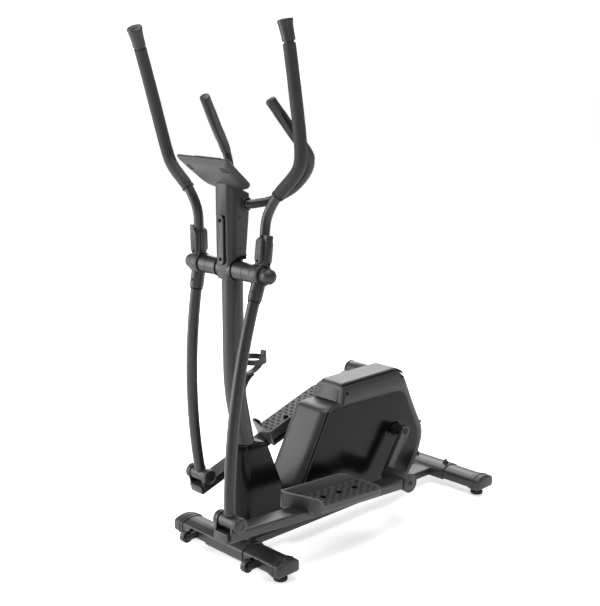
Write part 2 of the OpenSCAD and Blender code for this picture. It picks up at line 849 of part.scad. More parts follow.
module belt_plan(grow) {
  hull() {
    translate([crank_x, crank_z]) circle(r = pulley_r + grow, $fn = 96);
    translate([flywheel_x, flywheel_z]) circle(r = small_pulley_r + grow, $fn = 48);
  }
}
module drive_belt() {
  color([0.04, 0.04, 0.04]) translate([0, belt_y1 - gap, 0]) rotate([90, 0, 0])
    linear_extrude(belt_y1 - belt_y0 - 2 * gap)
    difference() {
      belt_plan(4);
      belt_plan(0.6);
    }
}
fly_y0 = -24;
fly_y1 = -4;
fly_axle_r = 7.5;
fork_y = 38;
magnet_gap = 3;
bracket_r0 = flywheel_r + magnet_gap;
bracket_from = 28;
bracket_to = 84;
hinge_a = 92;
hinge_r = bracket_r0 + 4;
hinge_pin_r = 3;
hinge_p = [flywheel_x + hinge_r * cos(hinge_a), flywheel_z + hinge_r * sin(hinge_a)];
module flywheel() {
  color([0.45, 0.45, 0.46]) difference() {
    union() {
      along_y(flywheel_x, fly_y0, fly_y1, flywheel_z, flywheel_r);
      along_y(flywheel_x, fly_y1 - 1, belt_y1 + 3, flywheel_z, small_pulley_r - 4);
      along_y(flywheel_x, belt_y0, belt_y1, flywheel_z, small_pulley_r);
    }
    along_y(flywheel_x, -60, 60, flywheel_z, fly_axle_r + run_fit);
    along_y(flywheel_x, fly_y0 - 1, fly_y0 + 6, flywheel_z, flywheel_r - 26);
  }
}
module flywheel_carrier() {
  color([0.13, 0.13, 0.13]) union() {
    for (y = [-fork_y - 6, fork_y]) {
      box([flywheel_x - 24, y, rail_z1], [flywheel_x + 24, y + 6, flywheel_z]);
      along_y(flywheel_x, y, y + 6, flywheel_z, 24);
      box([flywheel_x - 24, y > 0 ? 28 : -44, rail_z1], [flywheel_x + 24, y > 0 ? 44 : -28, rail_z1 + 5]);
    }
    along_y(flywheel_x, -fork_y - 14, fork_y + 14, flywheel_z, fly_axle_r);
    box([hinge_p[0] - 10, -fork_y - 6, flywheel_z], [hinge_p[0] + 10, -fork_y, hinge_p[1]]);
    along_y(hinge_p[0], -fork_y - 6, -fork_y, hinge_p[1], 10);
    along_y(hinge_p[0], -fork_y - 6, 2, hinge_p[1], hinge_pin_r);
  }
}
// Idler under the lower run of the belt, on an arm hinged on the crank post
idler_pin_r = 5;
idler_x = -110;
idler_r = 16;
belt_fall = asin((pulley_r - small_pulley_r) / norm([flywheel_x - crank_x, flywheel_z - crank_z]));
belt_line = atan2(flywheel_z - crank_z, flywheel_x - crank_x) + belt_fall;
belt_low = [crank_x, crank_z] + (pulley_r + 4) * [sin(belt_line), -cos(belt_line)];
idler_z = belt_low[1] + (idler_x - belt_low[0]) * tan(belt_line) - (idler_r + gap) / cos(belt_line);
module idler_arm() {
  reach = [idler_x, idler_z] - idler_pivot;
  color([0.3, 0.3, 0.3]) union() {
    along_y(idler_pivot[0], 2, 8, idler_pivot[1], 11);
    along_y(idler_x, 2, 8, idler_z, 9);
    translate([idler_pivot[0], 2, idler_pivot[1]]) rotate([0, -atan2(reach[1], reach[0]), 0])
      box([2, 1, -7], [norm(reach) - 2, 5, 7]);
    along_y(idler_x, 5, 30, idler_z, 4);
    along_y(idler_pivot[0], -20, 5, idler_pivot[1], idler_pin_r);
  }
}
module idler_roller() {
  color([0.4, 0.4, 0.4]) difference() {
    along_y(idler_x, 10, 29, idler_z, idler_r);
    along_y(idler_x, 9, 31, idler_z, 4 + run_fit);
  }
}
// Magnet bracket: an arc of steel over the rim of the flywheel, hinged at its upper end
module magnet_bracket() {
  function ray(a) = [flywheel_x + 200 * cos(a), flywheel_z + 200 * sin(a)];
  wedge = [[flywheel_x, flywheel_z], ray(bracket_from), ray(60), ray(hinge_a - 1)];
  color([0.35, 0.35, 0.36]) difference() {
    union() {
      intersection() {
        difference() {
          along_y(flywheel_x, fly_y0 - 4, fly_y1 + 4, flywheel_z, bracket_r0 + 4);
          along_y(flywheel_x, fly_y0 - 5, fly_y1 + 5, flywheel_z, bracket_r0);
        }
        slab(wedge, -60, 30);
      }
      for (a = [bracket_from + 8 : 16 : bracket_to - 8]) {
        translate([flywheel_x, 0, flywheel_z]) rotate([0, -a, 0])
          box([bracket_r0 - 1.5, fly_y0 + 2, -8], [bracket_r0 + 1, fly_y1 - 2, 8]);
      }
      along_y(hinge_p[0], fly_y0 - 4, fly_y1 + 4, hinge_p[1], hinge_pin_r + 3);
    }
    along_y(hinge_p[0], fly_y0 - 5, fly_y1 + 5, hinge_p[1], hinge_pin_r + run_fit);
  }
}

// ---- Casing ----
module crowned(edge, face, edge_y, face_y) {
  hull() {
    slab(edge, 0, edge_y);
    slab(face, 0, face_y);
  }
}
module casing_half() {
  difference() {
    union() {
      crowned(main_edge, main_face, casing_edge_y, casing_face_y);
      crowned(front_edge, front_face, casing_edge_y, casing_face_y);
    }
    translate([0, -1, 0]) {
      crowned(inset(main_edge), inset(main_face), casing_edge_y - 2, casing_face_y - casing_wall);
      crowned(inset(front_edge), inset(front_face), casing_edge_y - 2, casing_face_y - casing_wall);
    }
    along_y(crank_x, 30, 90, crank_z, axle_hole_r);
  }
}
casing_mid = [-120, 240];
function inset(outline) = [for (q = outline)
  [q[0] + (q[0] > casing_mid[0] ? -casing_wall : casing_wall), q[1] + (q[1] > casing_mid[1] ? -casing_wall : -1)]];
module casing_left() {
  color([0.12, 0.12, 0.12]) casing_half();
}
module casing_right() {
  color([0.12, 0.12, 0.12]) mirror([0, 1, 0]) casing_half();
}
module casing_top_trim() {
  outline = [[trim_from, 466.2], [trim_from, trim_top], [-301, trim_top + 3], [-330, 458], [-328, 450.5],
    [-301, 466.2]];
  color([0.17, 0.17, 0.17]) slab(outline, -casing_edge_y, casing_edge_y);
}
panel_outline = [[42, 397], [20, 401], [-60, 402], [-290, 400], [-316, 388], [-388, 232], [-384, 218], [-330, 196], [-240, 120],
  [-150, 90], [158, 90], [160, 190]];
panel_t = 1.5;
module side_panels() {
  color([0.05, 0.05, 0.05]) left_right() difference() {
    slab(panel_outline, casing_face_y + 0.1, casing_face_y + panel_t);
    along_y(crank_x, 30, 90, crank_z, axle_hole_r + 4);
  }
}

main_rail();
crank_post();
flywheel_carrier();
front_stabilizer();
rear_stabilizer();
stabilizer_end_caps();
frame_bolts();
foot_front_left();
foot_front_right();
foot_rear_left();
foot_rear_right();
transport_wheel_left();
transport_wheel_right();
mast();
base_cover_left();
base_cover_right();
cross_axle();
axle_bushes();
dome_caps();
upper_cover_left();
upper_cover_right();
cover_inlay();
bottle_holder();
console_housing();
console_display();
button_mode();
button_up();
button_down();
pulse_bar();
pulse_grips();
pulse_sensors();
left_arm();
right_arm();
left_handlebar();
right_handlebar();
left_grip();
right_grip();
left_handle_cap();
right_handle_cap();
left_hub_cover();
right_hub_cover();
left_link();
right_link();
left_pedal();
right_pedal();
left_link_fasteners();
right_link_fasteners();
left_crank();
right_crank();
drive_pulley();
crank_bearings();
drive_belt();
flywheel();
idler_arm();
idler_roller();
magnet_bracket();
casing_left();
casing_right();
casing_top_trim();
side_panels();
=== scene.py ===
import json
import math

import bmesh
import bpy
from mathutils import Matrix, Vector


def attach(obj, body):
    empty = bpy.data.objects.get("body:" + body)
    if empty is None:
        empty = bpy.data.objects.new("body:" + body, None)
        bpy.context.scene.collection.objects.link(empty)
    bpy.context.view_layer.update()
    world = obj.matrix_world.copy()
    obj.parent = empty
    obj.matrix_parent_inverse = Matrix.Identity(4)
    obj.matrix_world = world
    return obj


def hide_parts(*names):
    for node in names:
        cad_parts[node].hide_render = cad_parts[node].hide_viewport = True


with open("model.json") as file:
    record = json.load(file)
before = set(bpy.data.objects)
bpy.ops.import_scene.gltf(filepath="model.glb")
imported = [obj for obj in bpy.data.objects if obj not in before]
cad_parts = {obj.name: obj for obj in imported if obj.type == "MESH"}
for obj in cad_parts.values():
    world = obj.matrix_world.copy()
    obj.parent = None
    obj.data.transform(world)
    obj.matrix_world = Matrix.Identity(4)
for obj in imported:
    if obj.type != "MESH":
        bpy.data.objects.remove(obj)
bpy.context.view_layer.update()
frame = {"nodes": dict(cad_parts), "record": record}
nodes = frame["nodes"]

MM = 0.001


# ---- Materials ----
def new_material(name):
    mat = bpy.data.materials.new(name)
    mat.use_nodes = True
    tree = mat.node_tree
    return mat, tree, tree.nodes["Principled BSDF"]


def link(tree, a, out, b, inp):
    tree.links.new(a.outputs[out], b.inputs[inp])


def finish_material(name, dark, light, rough, spread, grain, bump, metal=0.0, coat=0.0, cloud=9.0,
                    stretch=(1, 1, 1), cells=False, spec=0.5):
    """Colour drifts between two shades, roughness and bump follow a fine grain."""
    mat, tree, shader = new_material(name)
    coord = tree.nodes.new("ShaderNodeTexCoord")
    mapping = tree.nodes.new("ShaderNodeMapping")
    mapping.inputs["Scale"].default_value = stretch
    link(tree, coord, "Object", mapping, "Vector")
    soft = tree.nodes.new("ShaderNodeTexNoise")
    soft.inputs["Scale"].default_value = cloud
    soft.inputs["Detail"].default_value = 4.0
    link(tree, mapping, "Vector", soft, "Vector")
    ramp = tree.nodes.new("ShaderNodeValToRGB")
    ramp.color_ramp.elements[0].position = 0.3
    ramp.color_ramp.elements[1].position = 0.72
    ramp.color_ramp.elements[0].color = (*dark, 1)
    ramp.color_ramp.elements[1].color = (*light, 1)
    link(tree, soft, "Fac", ramp, "Fac")
    link(tree, ramp, "Color", shader, "Base Color")
    if cells:
        fine = tree.nodes.new("ShaderNodeTexVoronoi")
        height = "Distance"
    else:
        fine = tree.nodes.new("ShaderNodeTexNoise")
        fine.inputs["Detail"].default_value = 3.0
        height = "Fac"
    fine.inputs["Scale"].default_value = grain
    link(tree, mapping, "Vector", fine, "Vector")
    spanner = tree.nodes.new("ShaderNodeMapRange")
    spanner.inputs["To Min"].default_value = rough - spread
    spanner.inputs["To Max"].default_value = rough + spread
    link(tree, fine, height, spanner, "Value")
    link(tree, spanner, "Result", shader, "Roughness")
    relief = tree.nodes.new("ShaderNodeBump")
    relief.inputs["Strength"].default_value = bump
    relief.inputs["Distance"].default_value = 0.0006
    link(tree, fine, height, relief, "Height")
    link(tree, relief, "Normal", shader, "Normal")
    shader.inputs["Metallic"].default_value = metal
    shader.inputs["Coat Weight"].default_value = coat
    shader.inputs["Coat Roughness"].default_value = 0.12
    shader.inputs["Specular IOR Level"].default_value = spec
    return mat


def grey(v, tint=1.02):
    return (v, v, v * tint)


FINISH = {
    "frame_paint": finish_material("frame_paint", grey(0.011), grey(0.015), 0.38, 0.06, 900, 0.2, spec=0.42),
    "shell_plastic": finish_material("shell_plastic", grey(0.012), grey(0.016), 0.43, 0.07, 1300, 0.22,
                                     spec=0.42),
    "gloss_shell": finish_material("gloss_shell", grey(0.0025), grey(0.004), 0.2, 0.03, 300, 0.02, spec=0.13),
    "soft_foam": finish_material("soft_foam", grey(0.008), grey(0.012), 0.6, 0.08, 1500, 0.4, cells=True,
                                 spec=0.4),
    "foot_rubber": finish_material("foot_rubber", grey(0.008), grey(0.012), 0.7, 0.08, 700, 0.3),
    "bright_steel": finish_material("bright_steel", grey(0.52), grey(0.6), 0.28, 0.08, 260, 0.08, metal=1.0,
                                    stretch=(1, 14, 1)),
    "dark_steel": finish_material("dark_steel", grey(0.04), grey(0.055), 0.36, 0.08, 320, 0.1, metal=0.9),
    "cast_wheel": finish_material("cast_wheel", grey(0.2), grey(0.26), 0.42, 0.1, 180, 0.2, metal=1.0),
    "bronze": finish_material("bronze", (0.42, 0.29, 0.13), (0.5, 0.36, 0.17), 0.4, 0.08, 500, 0.15,
                              metal=1.0),
    "pulley_plastic": finish_material("pulley_plastic", grey(0.07), grey(0.09), 0.5, 0.06, 700, 0.2),
    "belt_rubber": finish_material("belt_rubber", grey(0.012), grey(0.018), 0.62, 0.08, 500, 0.3,
                                   stretch=(1, 6, 1)),
    "display_window": finish_material("display_window", grey(0.006), grey(0.009), 0.08, 0.02, 90, 0.01,
                                      coat=0.6),
    "key_rubber": finish_material("key_rubber", grey(0.15), grey(0.18), 0.6, 0.06, 900, 0.2),
}
# Near-black material: the own colour of seams, screw heads and display segments, and also painted shade where
# it fills gaps, the recess around the crank and the space under the shell.
DARK = finish_material("black_parts_and_painted_shade", grey(0.001), grey(0.002), 0.8, 0.05, 500, 0.1, spec=0.05)
# Mid grey of the pedal decks; the same material also makes the painted highlight line along the side panels'
# front edge.
PEDAL_GREY_AND_HIGHLIGHT = finish_material("pedal_grey_and_painted_highlight", grey(0.04), grey(0.05), 0.5, 0.07, 1100, 0.25)
GUARD = finish_material("guard_grey", grey(0.07), grey(0.085), 0.5, 0.07, 1100, 0.25)
PANE = finish_material("lcd_field", (0.09, 0.11, 0.10), (0.1, 0.125, 0.11), 0.35, 0.04, 600, 0.02)

node_slots = {s["node"]: s["material_slot"] for s in frame["record"]["subparts"]}
for node_name, node_object in nodes.items():
    node_object.data.materials.clear()
    node_object.data.materials.append(FINISH[node_slots[node_name]])


# ---- Shapes, in millimetres ----
def rounded(outline, radius, steps=5):
    """Outline with its corners rounded; radius is one number or one for each corner."""
    count = len(outline)
    out = []
    for i, corner in enumerate(outline):
        r = radius[i] if isinstance(radius, (list, tuple)) else radius
        c = Vector(corner)
        a = Vector(outline[i - 1]) - c
        b = Vector(outline[(i + 1) % count]) - c
        cut = min(r, a.length * 0.48, b.length * 0.48)
        p, q = c + a.normalized() * cut, c + b.normalized() * cut
        for k in range(steps + 1):
            t = k / steps
            out.append(tuple(p * (1 - t) ** 2 + c * 2 * t * (1 - t) + q * t * t))
    return out


def rrect(w, h, r, cx=0.0, cy=0.0, steps=5):
    box = [(cx - w / 2, cy - h / 2), (cx + w / 2, cy - h / 2), (cx + w / 2, cy + h / 2),
           (cx - w / 2, cy + h / 2)]
    return rounded(box, r, steps)


def curve_through(points, steps):
    """Smooth curve that passes through every point."""
    out = []
    for i in range(len(points) - 1):
        a, b = Vector(points[max(i - 1, 0)]), Vector(points[i])
        c, d = Vector(points[i + 1]), Vector(points[min(i + 2, len(points) - 1)])
        for k in range(steps):
            t = k / steps
            out.append(0.5 * (2 * b + (c - a) * t + (2 * a - 5 * b + 4 * c - d) * t * t
                              + (3 * b - a - 3 * c + d) * t ** 3))
    out.append(Vector(points[-1]))
    return out


def half_circle(r, up, start, steps=14):
    """Points of a half circle about (0, up)."""
    turns = [start + math.pi * n / steps for n in range(steps + 1)]
    return [(r * math.cos(a), up + r * math.sin(a)) for a in turns]


def stay(p):
    return p


def placed(x, z, tilt, side=1):
    """A frame turned about Y by tilt degrees at (x, z), mirrored for the right side."""
    c, s = math.cos(math.radians(tilt)), math.sin(math.radians(tilt))
    return lambda p: (x + p[0] * c - p[2] * s, side * p[1], z + p[0] * s + p[2] * c)


class Shape:
    """Vertices and faces gathered from several closed forms, in one local frame."""

    def __init__(self, place=stay):
        self.verts, self.faces, self.place = [], [], place

    def rings(self, rings, caps=True, loop=False):
        """Skin over rings of equal counts. With loop, the last ring joins the first."""
        start, n = len(self.verts), len(rings[0])
        for ring in rings:
            self.verts += [self.place(tuple(p)) for p in ring]
        last = len(rings) if loop else len(rings) - 1
        for i in range(last):
            a, b = start + i * n, start + ((i + 1) % len(rings)) * n
            for k in range(n):
                m = (k + 1) % n
                self.faces.append((a + k, a + m, b + m, b + k))
        if caps and not loop:
            self.faces.append(tuple(start + k for k in range(n)))
            self.faces.append(tuple(start + (len(rings) - 1) * n + k for k in range(n)))
        return self

    def prism(self, outline, lo, hi, axis="y"):
        return self.layers([(lo, outline), (hi, outline)], axis)

    def layers(self, levels, axis="y"):
        """levels is a list of (height, outline), outlines with equal counts."""
        def at(p, h):
            return {"x": (h, p[0], p[1]), "y": (p[0], h, p[1]), "z": (p[0], p[1], h)}[axis]
        return self.rings([[at(p, h) for p in outline] for h, outline in levels])

    def lathe(self, profile, centre, axis="y", segments=48, loop=False):
        """profile is a list of (radius, height along the axis)."""
        rings = []
        for r, h in profile:
            ring = []
            for k in range(segments):
                a = 2 * math.pi * k / segments
                u, v = max(r, 0.01) * math.cos(a), max(r, 0.01) * math.sin(a)
                off = {"x": (h, u, v), "y": (u, h, v), "z": (u, v, h)}[axis]
                ring.append(tuple(centre[i] + off[i] for i in range(3)))
            rings.append(ring)
        return self.rings(rings, loop=loop)

    def tube(self, points, radius, sides=28, section=None, up=(1, 0.2, 0)):
        pts = [Vector(p) for p in points]
        rings = []
        u = None
        for i, p in enumerate(pts):
            t = (pts[min(i + 1, len(pts) - 1)] - pts[max(i - 1, 0)]).normalized()
            if u is None:
                u = t.cross(Vector(up)).normalized()
            u = (u - t * u.dot(t)).normalized()
            v = t.cross(u)
            r = radius[i] if isinstance(radius, (list, tuple)) else radius
            if section:
                rings.append([p + u * a * r + v * b * r for a, b in section])
            else:
                turns = [2 * math.pi * k / sides for k in range(sides)]
                rings.append([p + (u * math.cos(a) + v * math.sin(a)) * r for a in turns])
        return self.rings(rings)

    def screw(self, centre, r, axis="y", out=1, proud=1.5):
        """Small pan-head screw with a socket."""
        self.lathe([(r * 0.45, out * (proud - 1.2)), (r * 0.45, out * proud), (r * 0.8, out * proud),
                    (r, out * proud * 0.55), (r, -out * 0.8)], centre, axis, 20)
        return self


def piece(name, shape, body, finish, swaps=(), bevel=0.0, sharp=36, material=None, segments=3):
    """Turn a Shape into a mesh object that rides a body and stands for the CAD nodes in swaps."""
    mesh = bpy.data.meshes.new(name)
    mesh.from_pydata([Vector(v) * MM for v in shape.verts], [], shape.faces)
    bm = bmesh.new()
    bm.from_mesh(mesh)
    bmesh.ops.remove_doubles(bm, verts=bm.verts, dist=1e-6)
    bmesh.ops.recalc_face_normals(bm, faces=bm.faces)
    bm.to_mesh(mesh)
    bm.free()
    mesh.shade_smooth()
    mesh.set_sharp_from_angle(angle=math.radians(sharp))
    ob = bpy.data.objects.new(name, mesh)
    bpy.context.scene.collection.objects.link(ob)
    mesh.materials.append(material or FINISH[finish])
    if bevel:
        mod = ob.modifiers.new("edges", "BEVEL")
        mod.width = bevel * MM
        mod.segments = segments
        mod.limit_method = "ANGLE"
        mod.angle_limit = math.radians(sharp)
        mod.harden_normals = True
    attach(ob, body)
    if swaps:
        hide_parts(*swaps)
    return ob


# ---- Places, repeated from the CAD ----
FRONT_X, REAR_X = 386.0, -555.6
AXLE_X, AXLE_Z = 389.4, 901.8
AXLE = (AXLE_X, 0, AXLE_Z)
MAST_X = 378.0
CRANK_X, CRANK_Z, THROW, CRANK_ANGLE = -268.0, 275.0, 158.0, 35.7
ARM_R, LINK_LEN, LINK_Y, ARM_Y = 692.2, 743.0, 190.0, 135.0


def pin_of(angle):
    a = math.radians(angle)
    return CRANK_X + THROW * math.sin(a), CRANK_Z - THROW * math.cos(a)


def pivot_of(pin):
    dx, dz = AXLE_X - pin[0], AXLE_Z - pin[1]
    dist = math.hypot(dx, dz)
    along = (LINK_LEN ** 2 - ARM_R ** 2 + dist ** 2) / (2 * dist)
    across = math.sqrt(LINK_LEN ** 2 - along ** 2)
    return pin[0] + (along * dx + across * dz) / dist, pin[1] + (along * dz - across * dx) / dist


SIDES = {}
for side_name, side_sign, turn in (("left", 1, 0), ("right", -1, 180)):
    pin = pin_of(CRANK_ANGLE + turn)
    pivot = pivot_of(pin)
    SIDES[side_name] = {
        "sign": side_sign,
        "arm": placed(AXLE_X, AXLE_Z, math.degrees(math.atan2(pivot[0] - AXLE_X, AXLE_Z - pivot[1])),
                      side_sign),
        "link": placed(pivot[0], pivot[1], math.degrees(math.atan2(pivot[1] - pin[1], pivot[0] - pin[0])),
                       side_sign),
        "crank": placed(CRANK_X, CRANK_Z, CRANK_ANGLE + turn, side_sign),
    }
CONSOLE = placed(427.5, 1187.0, 38.25)
TUBE_DROP = 38.0
TUBE_SLOPE = math.atan(TUBE_DROP / LINK_LEN)


# ---- Base ----
STAB_W, STAB_LOW, STAB_EDGE, STAB_TOP = 82.0, 28.0, 59.0, 70.0
WHEEL_AHEAD, WHEEL_Y, WHEEL_Z = 73, 142, 46


def stab_outline(x, grow=0.0, corner=9.0):
    """Section of a stabilizer, flat below and crowned above."""
    half = STAB_W / 2 + grow
    low, edge, top = STAB_LOW - grow, STAB_EDGE + grow * 0.6, STAB_TOP + grow
    crown = [(x + half * u, edge + (top - edge) * (1 - u * u)) for u in (-0.75, -0.4, 0.0, 0.4, 0.75)]
    pts = [(x - half, low), (x - half, edge)] + crown + [(x + half, edge), (x + half, low)]
    radii = [corner, corner * 0.9] + [3.0] * len(crown) + [corner * 0.9, corner]
    return rounded(pts, radii, 4)


def stabilizer(name, x, swaps):
    shape = Shape().prism(stab_outline(x), -240, 240)
    if x > 0:
        for s in (-1, 1):
            for y in (127.0, 153.0):
                plate = rounded([(x + 38, 36), (x + 82, 36), (x + 82, 58), (x + 38, 58)], [2, 9, 9, 2], 5)
                shape.prism(plate, *sorted((s * y, s * (y + 4))))
            shape.lathe([(4, -16), (4, 16)], (x + WHEEL_AHEAD, s * WHEEL_Y, WHEEL_Z), "y", 24)
            for y in (126.0, 158.0):
                shape.lathe([(6.5, -1.6), (6.5, 1.4), (4, 2.4)], (x + WHEEL_AHEAD, s * y, WHEEL_Z), "y", 6)
    piece(name, shape, "frame", "frame_paint", swaps, bevel=0.8)


stabilizer("stabilizer_front_tube", FRONT_X, ["front_stabilizer"])
stabilizer("stabilizer_rear_tube", REAR_X, ["rear_stabilizer"])

caps = Shape()
for x in (FRONT_X, REAR_X):
    for s in (-1, 1):
        levels = [(s * 201.0, stab_outline(x, 0.6)), (s * 201.5, stab_outline(x, 2.2)),
                  (s * 235.0, stab_outline(x, 2.6)), (s * 240.0, stab_outline(x, 1.8)),
                  (s * 243.4, stab_outline(x, -0.6)), (s * 245.0, stab_outline(x, -4.0))]
        caps.layers(levels, "y")
        caps.layers([(s * 212.0, stab_outline(x, 3.2)), (s * 213.0, stab_outline(x, 3.9)),
                     (s * 218.0, stab_outline(x, 3.9)), (s * 219.0, stab_outline(x, 3.2))], "y")
piece("stabilizer_caps", caps, "frame", "shell_plastic", ["stabilizer_end_caps"])

rail = Shape()
rail.prism(rrect(70, 26, 6, 0, 44), REAR_X + 41, FRONT_X - 41, "x")
for x in (FRONT_X, REAR_X):
    levels = [(-86, stab_outline(x, 1.2)), (-85, stab_outline(x, 3.0)), (85, stab_outline(x, 3.0)),
              (86, stab_outline(x, 1.2))]
    rail.layers(levels, "y")
    inner = x - 40 if x > 0 else x + 40
    out = 1 if x < 0 else -1
    for y in (-35.5, 35.5):
        rail.tube([(inner + out * 2.5, y, 33), (inner + out * 2.5, y, 45), (inner + out * 2.5, y, 56)],
                  [2.2, 2.8, 2.2], 12)
piece("rail_beam", rail, "frame", "frame_paint", ["main_rail"])

nuts = Shape()
for x in (FRONT_X, REAR_X):
    for s in (-1, 1):
        at = (x, s * 67.0, 73.0)
        nuts.lathe([(11.5, -1), (11.5, 1.2), (10.5, 2.0), (8.4, 2.0)], at, "z", 32)
        nuts.lathe([(8.2, 1.6), (8.6, 2.6), (8.6, 7.6), (7.0, 9.0)], at, "z", 6)
        nuts.lathe([(6.6, 7.5)] + [(6.6 * math.cos(a / 10), 8.6 + 6.2 * math.sin(a / 10))
                                   for a in range(0, 16, 2)], at, "z", 28)
piece("carriage_nuts", nuts, "frame", "dark_steel", ["frame_bolts"], sharp=30)

for ends, x in (("front", FRONT_X), ("rear", REAR_X)):
    for side, s in (("left", 1), ("right", -1)):
        pad = Shape()
        at = (x, s * 207.0, 0)
        pad.lathe([(17, 0), (18.6, 0), (20.4, 1.2), (21, 2.6), (21, 9), (20.2, 10.6), (18, 11.4), (14, 12.2),
                   (13, 13), (13, 18.4), (12.2, 19.2), (5, 19.2), (5, 30)], at, "z", 48)
        for k in range(24):
            a = 2 * math.pi * k / 24
            rib = (at[0] + 20.6 * math.cos(a), at[1] + 20.6 * math.sin(a))
            pad.lathe([(0.9, 3.2), (0.9, 8.8)], (rib[0], rib[1], 0), "z", 8)
        piece(f"foot_pad_{ends}_{side}", pad, f"foot_{ends}_{side}", "foot_rubber", [f"foot_{ends}_{side}"])

SPOKE_IN, SPOKE_OUT, SPOKE_HALF, WEB_HALF = 8, 15.5, 1.4, 8.6
for side, s in (("left", 1), ("right", -1)):
    wheel = Shape()
    at = (FRONT_X + WHEEL_AHEAD, s * WHEEL_Y, WHEEL_Z)
    wheel.lathe([(4.3, -10), (9, -10), (9, -7.4), (14.6, -7.4), (15.4, -9.2), (18.4, -9.6), (19.8, -8),
                 (20, -5), (20, 5), (19.8, 8), (18.4, 9.6), (15.4, 9.2), (14.6, 7.4), (9, 7.4), (9, 10),
                 (4.3, 10)], at, "y", 56, loop=True)
    for k in range(5):
        a = 2 * math.pi * k / 5
        c, n = math.cos(a), math.sin(a)
        spoke = [(at[0] + r * c + h * n, at[2] + r * n - h * c)
                 for r, h in ((SPOKE_IN, -SPOKE_HALF), (SPOKE_IN, SPOKE_HALF), (SPOKE_OUT, SPOKE_HALF),
                              (SPOKE_OUT, -SPOKE_HALF))]
        wheel.prism(spoke, at[1] - WEB_HALF, at[1] + WEB_HALF)
    piece(f"roller_{side}", wheel, f"transport_wheel_{side}", "shell_plastic", [f"transport_wheel_{side}"],
          sharp=30)


# ---- Mast and its covers ----
mast = Shape()
foot_z, bend_z = 64.0, 545.0
lean = math.tan(math.radians(11.3))
path = []
for z in (foot_z, 160, 280, 400, 470):
    path.append((MAST_X - (bend_z - z) * lean, 0, z))
for k in range(0, 9):
    t = k / 8
    a, b, c = Vector((MAST_X - 65 * lean, 0, 480)), Vector((MAST_X, 0, 545)), Vector((MAST_X, 0, 612))
    path.append(tuple(a * (1 - t) ** 2 + b * 2 * t * (1 - t) + c * t * t))
path += [(MAST_X, 0, 700), (MAST_X, 0, 900), (MAST_X, 0, 1062)]
mast.tube(path, 31.5, 56, up=(0, 1, 0))
mast.lathe([(24, -80), (26.2, -80), (27, -79), (27, 79), (26.2, 80), (24, 80), (20, 80), (20, -80)],
           AXLE, "y", 56, loop=True)
mast.prism(rrect(100, 70, 5, 281.5, 0), 57, 73, "z")
mast.prism(rrect(26, 44, 4, 394.5, 0), 1050, 1126, "z")
piece("mast_tube", mast, "frame", "frame_paint", ["mast"])
rings = Shape()
for s in (-1, 1):
    rings.lathe([(21, s * 79), (26.6, s * 79), (27.3, s * 79.4), (27.3, s * 80.2), (26.6, s * 80.6),
                 (21, s * 80.6)],
                AXLE, "y", 56, loop=True)
piece("cross_tube_rings", rings, "frame", "foot_rubber")

BASE_NOSE_X, BASE_R = 343, 41.0
BASE_BACK = [(60, 199.5), (158, 199.5), (200, 217.0), (280, 250.5), (340, 275.5), (352, 280.0), (359, 284.5),
             (362, 290.0)]


def base_plan(z, back, inset=0.0):
    r = BASE_R - inset
    front = [(BASE_NOSE_X + r * math.sin(a), r * math.cos(a)) for a in [math.pi * k / 28 for k in range(29)]]
    rear = rounded([(BASE_NOSE_X, -r), (back + inset, -r), (back + inset, r), (BASE_NOSE_X, r)],
                   [0.1, 9, 9, 0.1], 5)
    return front + rear[6:18]


base = Shape()
levels = []
for z, back in BASE_BACK:
    inset = {352: 1.0, 359: 4.5, 362: 9.0}.get(z, 0.0)
    levels.append((z, base_plan(z, back, inset)))
base.layers(levels, "z")
base.layers([(74, base_plan(74, 199.5, -0.6)), (75.2, base_plan(75, 199.5, -1.8)),
             (79, base_plan(79, 199.5, -1.8)), (80.2, base_plan(80, 199.5, -0.6))], "z")
base.layers([(361, base_plan(362, 300, 12)), (366, base_plan(366, 304, 13)),
             (367.4, base_plan(366, 306, 15))], "z")
piece("base_column", base, "frame", "gloss_shell", ["base_cover_left", "base_cover_right"], sharp=42)
seam = Shape()
seam.prism([(383.4, 62), (384.4, 62), (384.4, 352), (383.4, 352)], -0.5, 0.5)
seam.lathe([(5.4, -1.4), (5.4, 0.2), (3.6, 0.2), (3.4, -1.2)], (252, 41, 248), "y", 24)
seam.lathe([(5.4, 1.4), (5.4, -0.2), (3.6, -0.2), (3.4, 1.2)], (252, -41, 248), "y", 24)
piece("base_column_seam", seam, "frame", "gloss_shell", material=DARK)


COVER_REAR_X, COVER_REAR_TOP, COVER_TOP_SLOPE = 336, 1116, 0.494


def slope_top(x):
    """Height of the slanted top of the mast cover."""
    return COVER_REAR_TOP + (x - COVER_REAR_X) * COVER_TOP_SLOPE


def cover_plan(front, ridge, back):
    """Closed outline. front holds x at the centre and x, y at the corner. ridge and back are (x, y)."""
    half = [(back[0], back[1] - 6), (back[0] + 6, back[1]), ridge, (front[1], front[2])]
    mirrored = [(x, -y) for x, y in half]
    return rounded(mirrored + [(front[0], 0)] + half[::-1], [4, 6, 7, 7, 0.6, 7, 7, 6, 4], 4)


def cover_ring(z, nose, slanted=False):
    rise = min(1.0, max(0.0, (z - 936.0) / 140.0))
    plan = cover_plan((nose, 416, 27), (396, 35), (350.0 - 14.0 * rise, 35))
    return [(x, y, slope_top(x) if slanted else z) for x, y in plan]


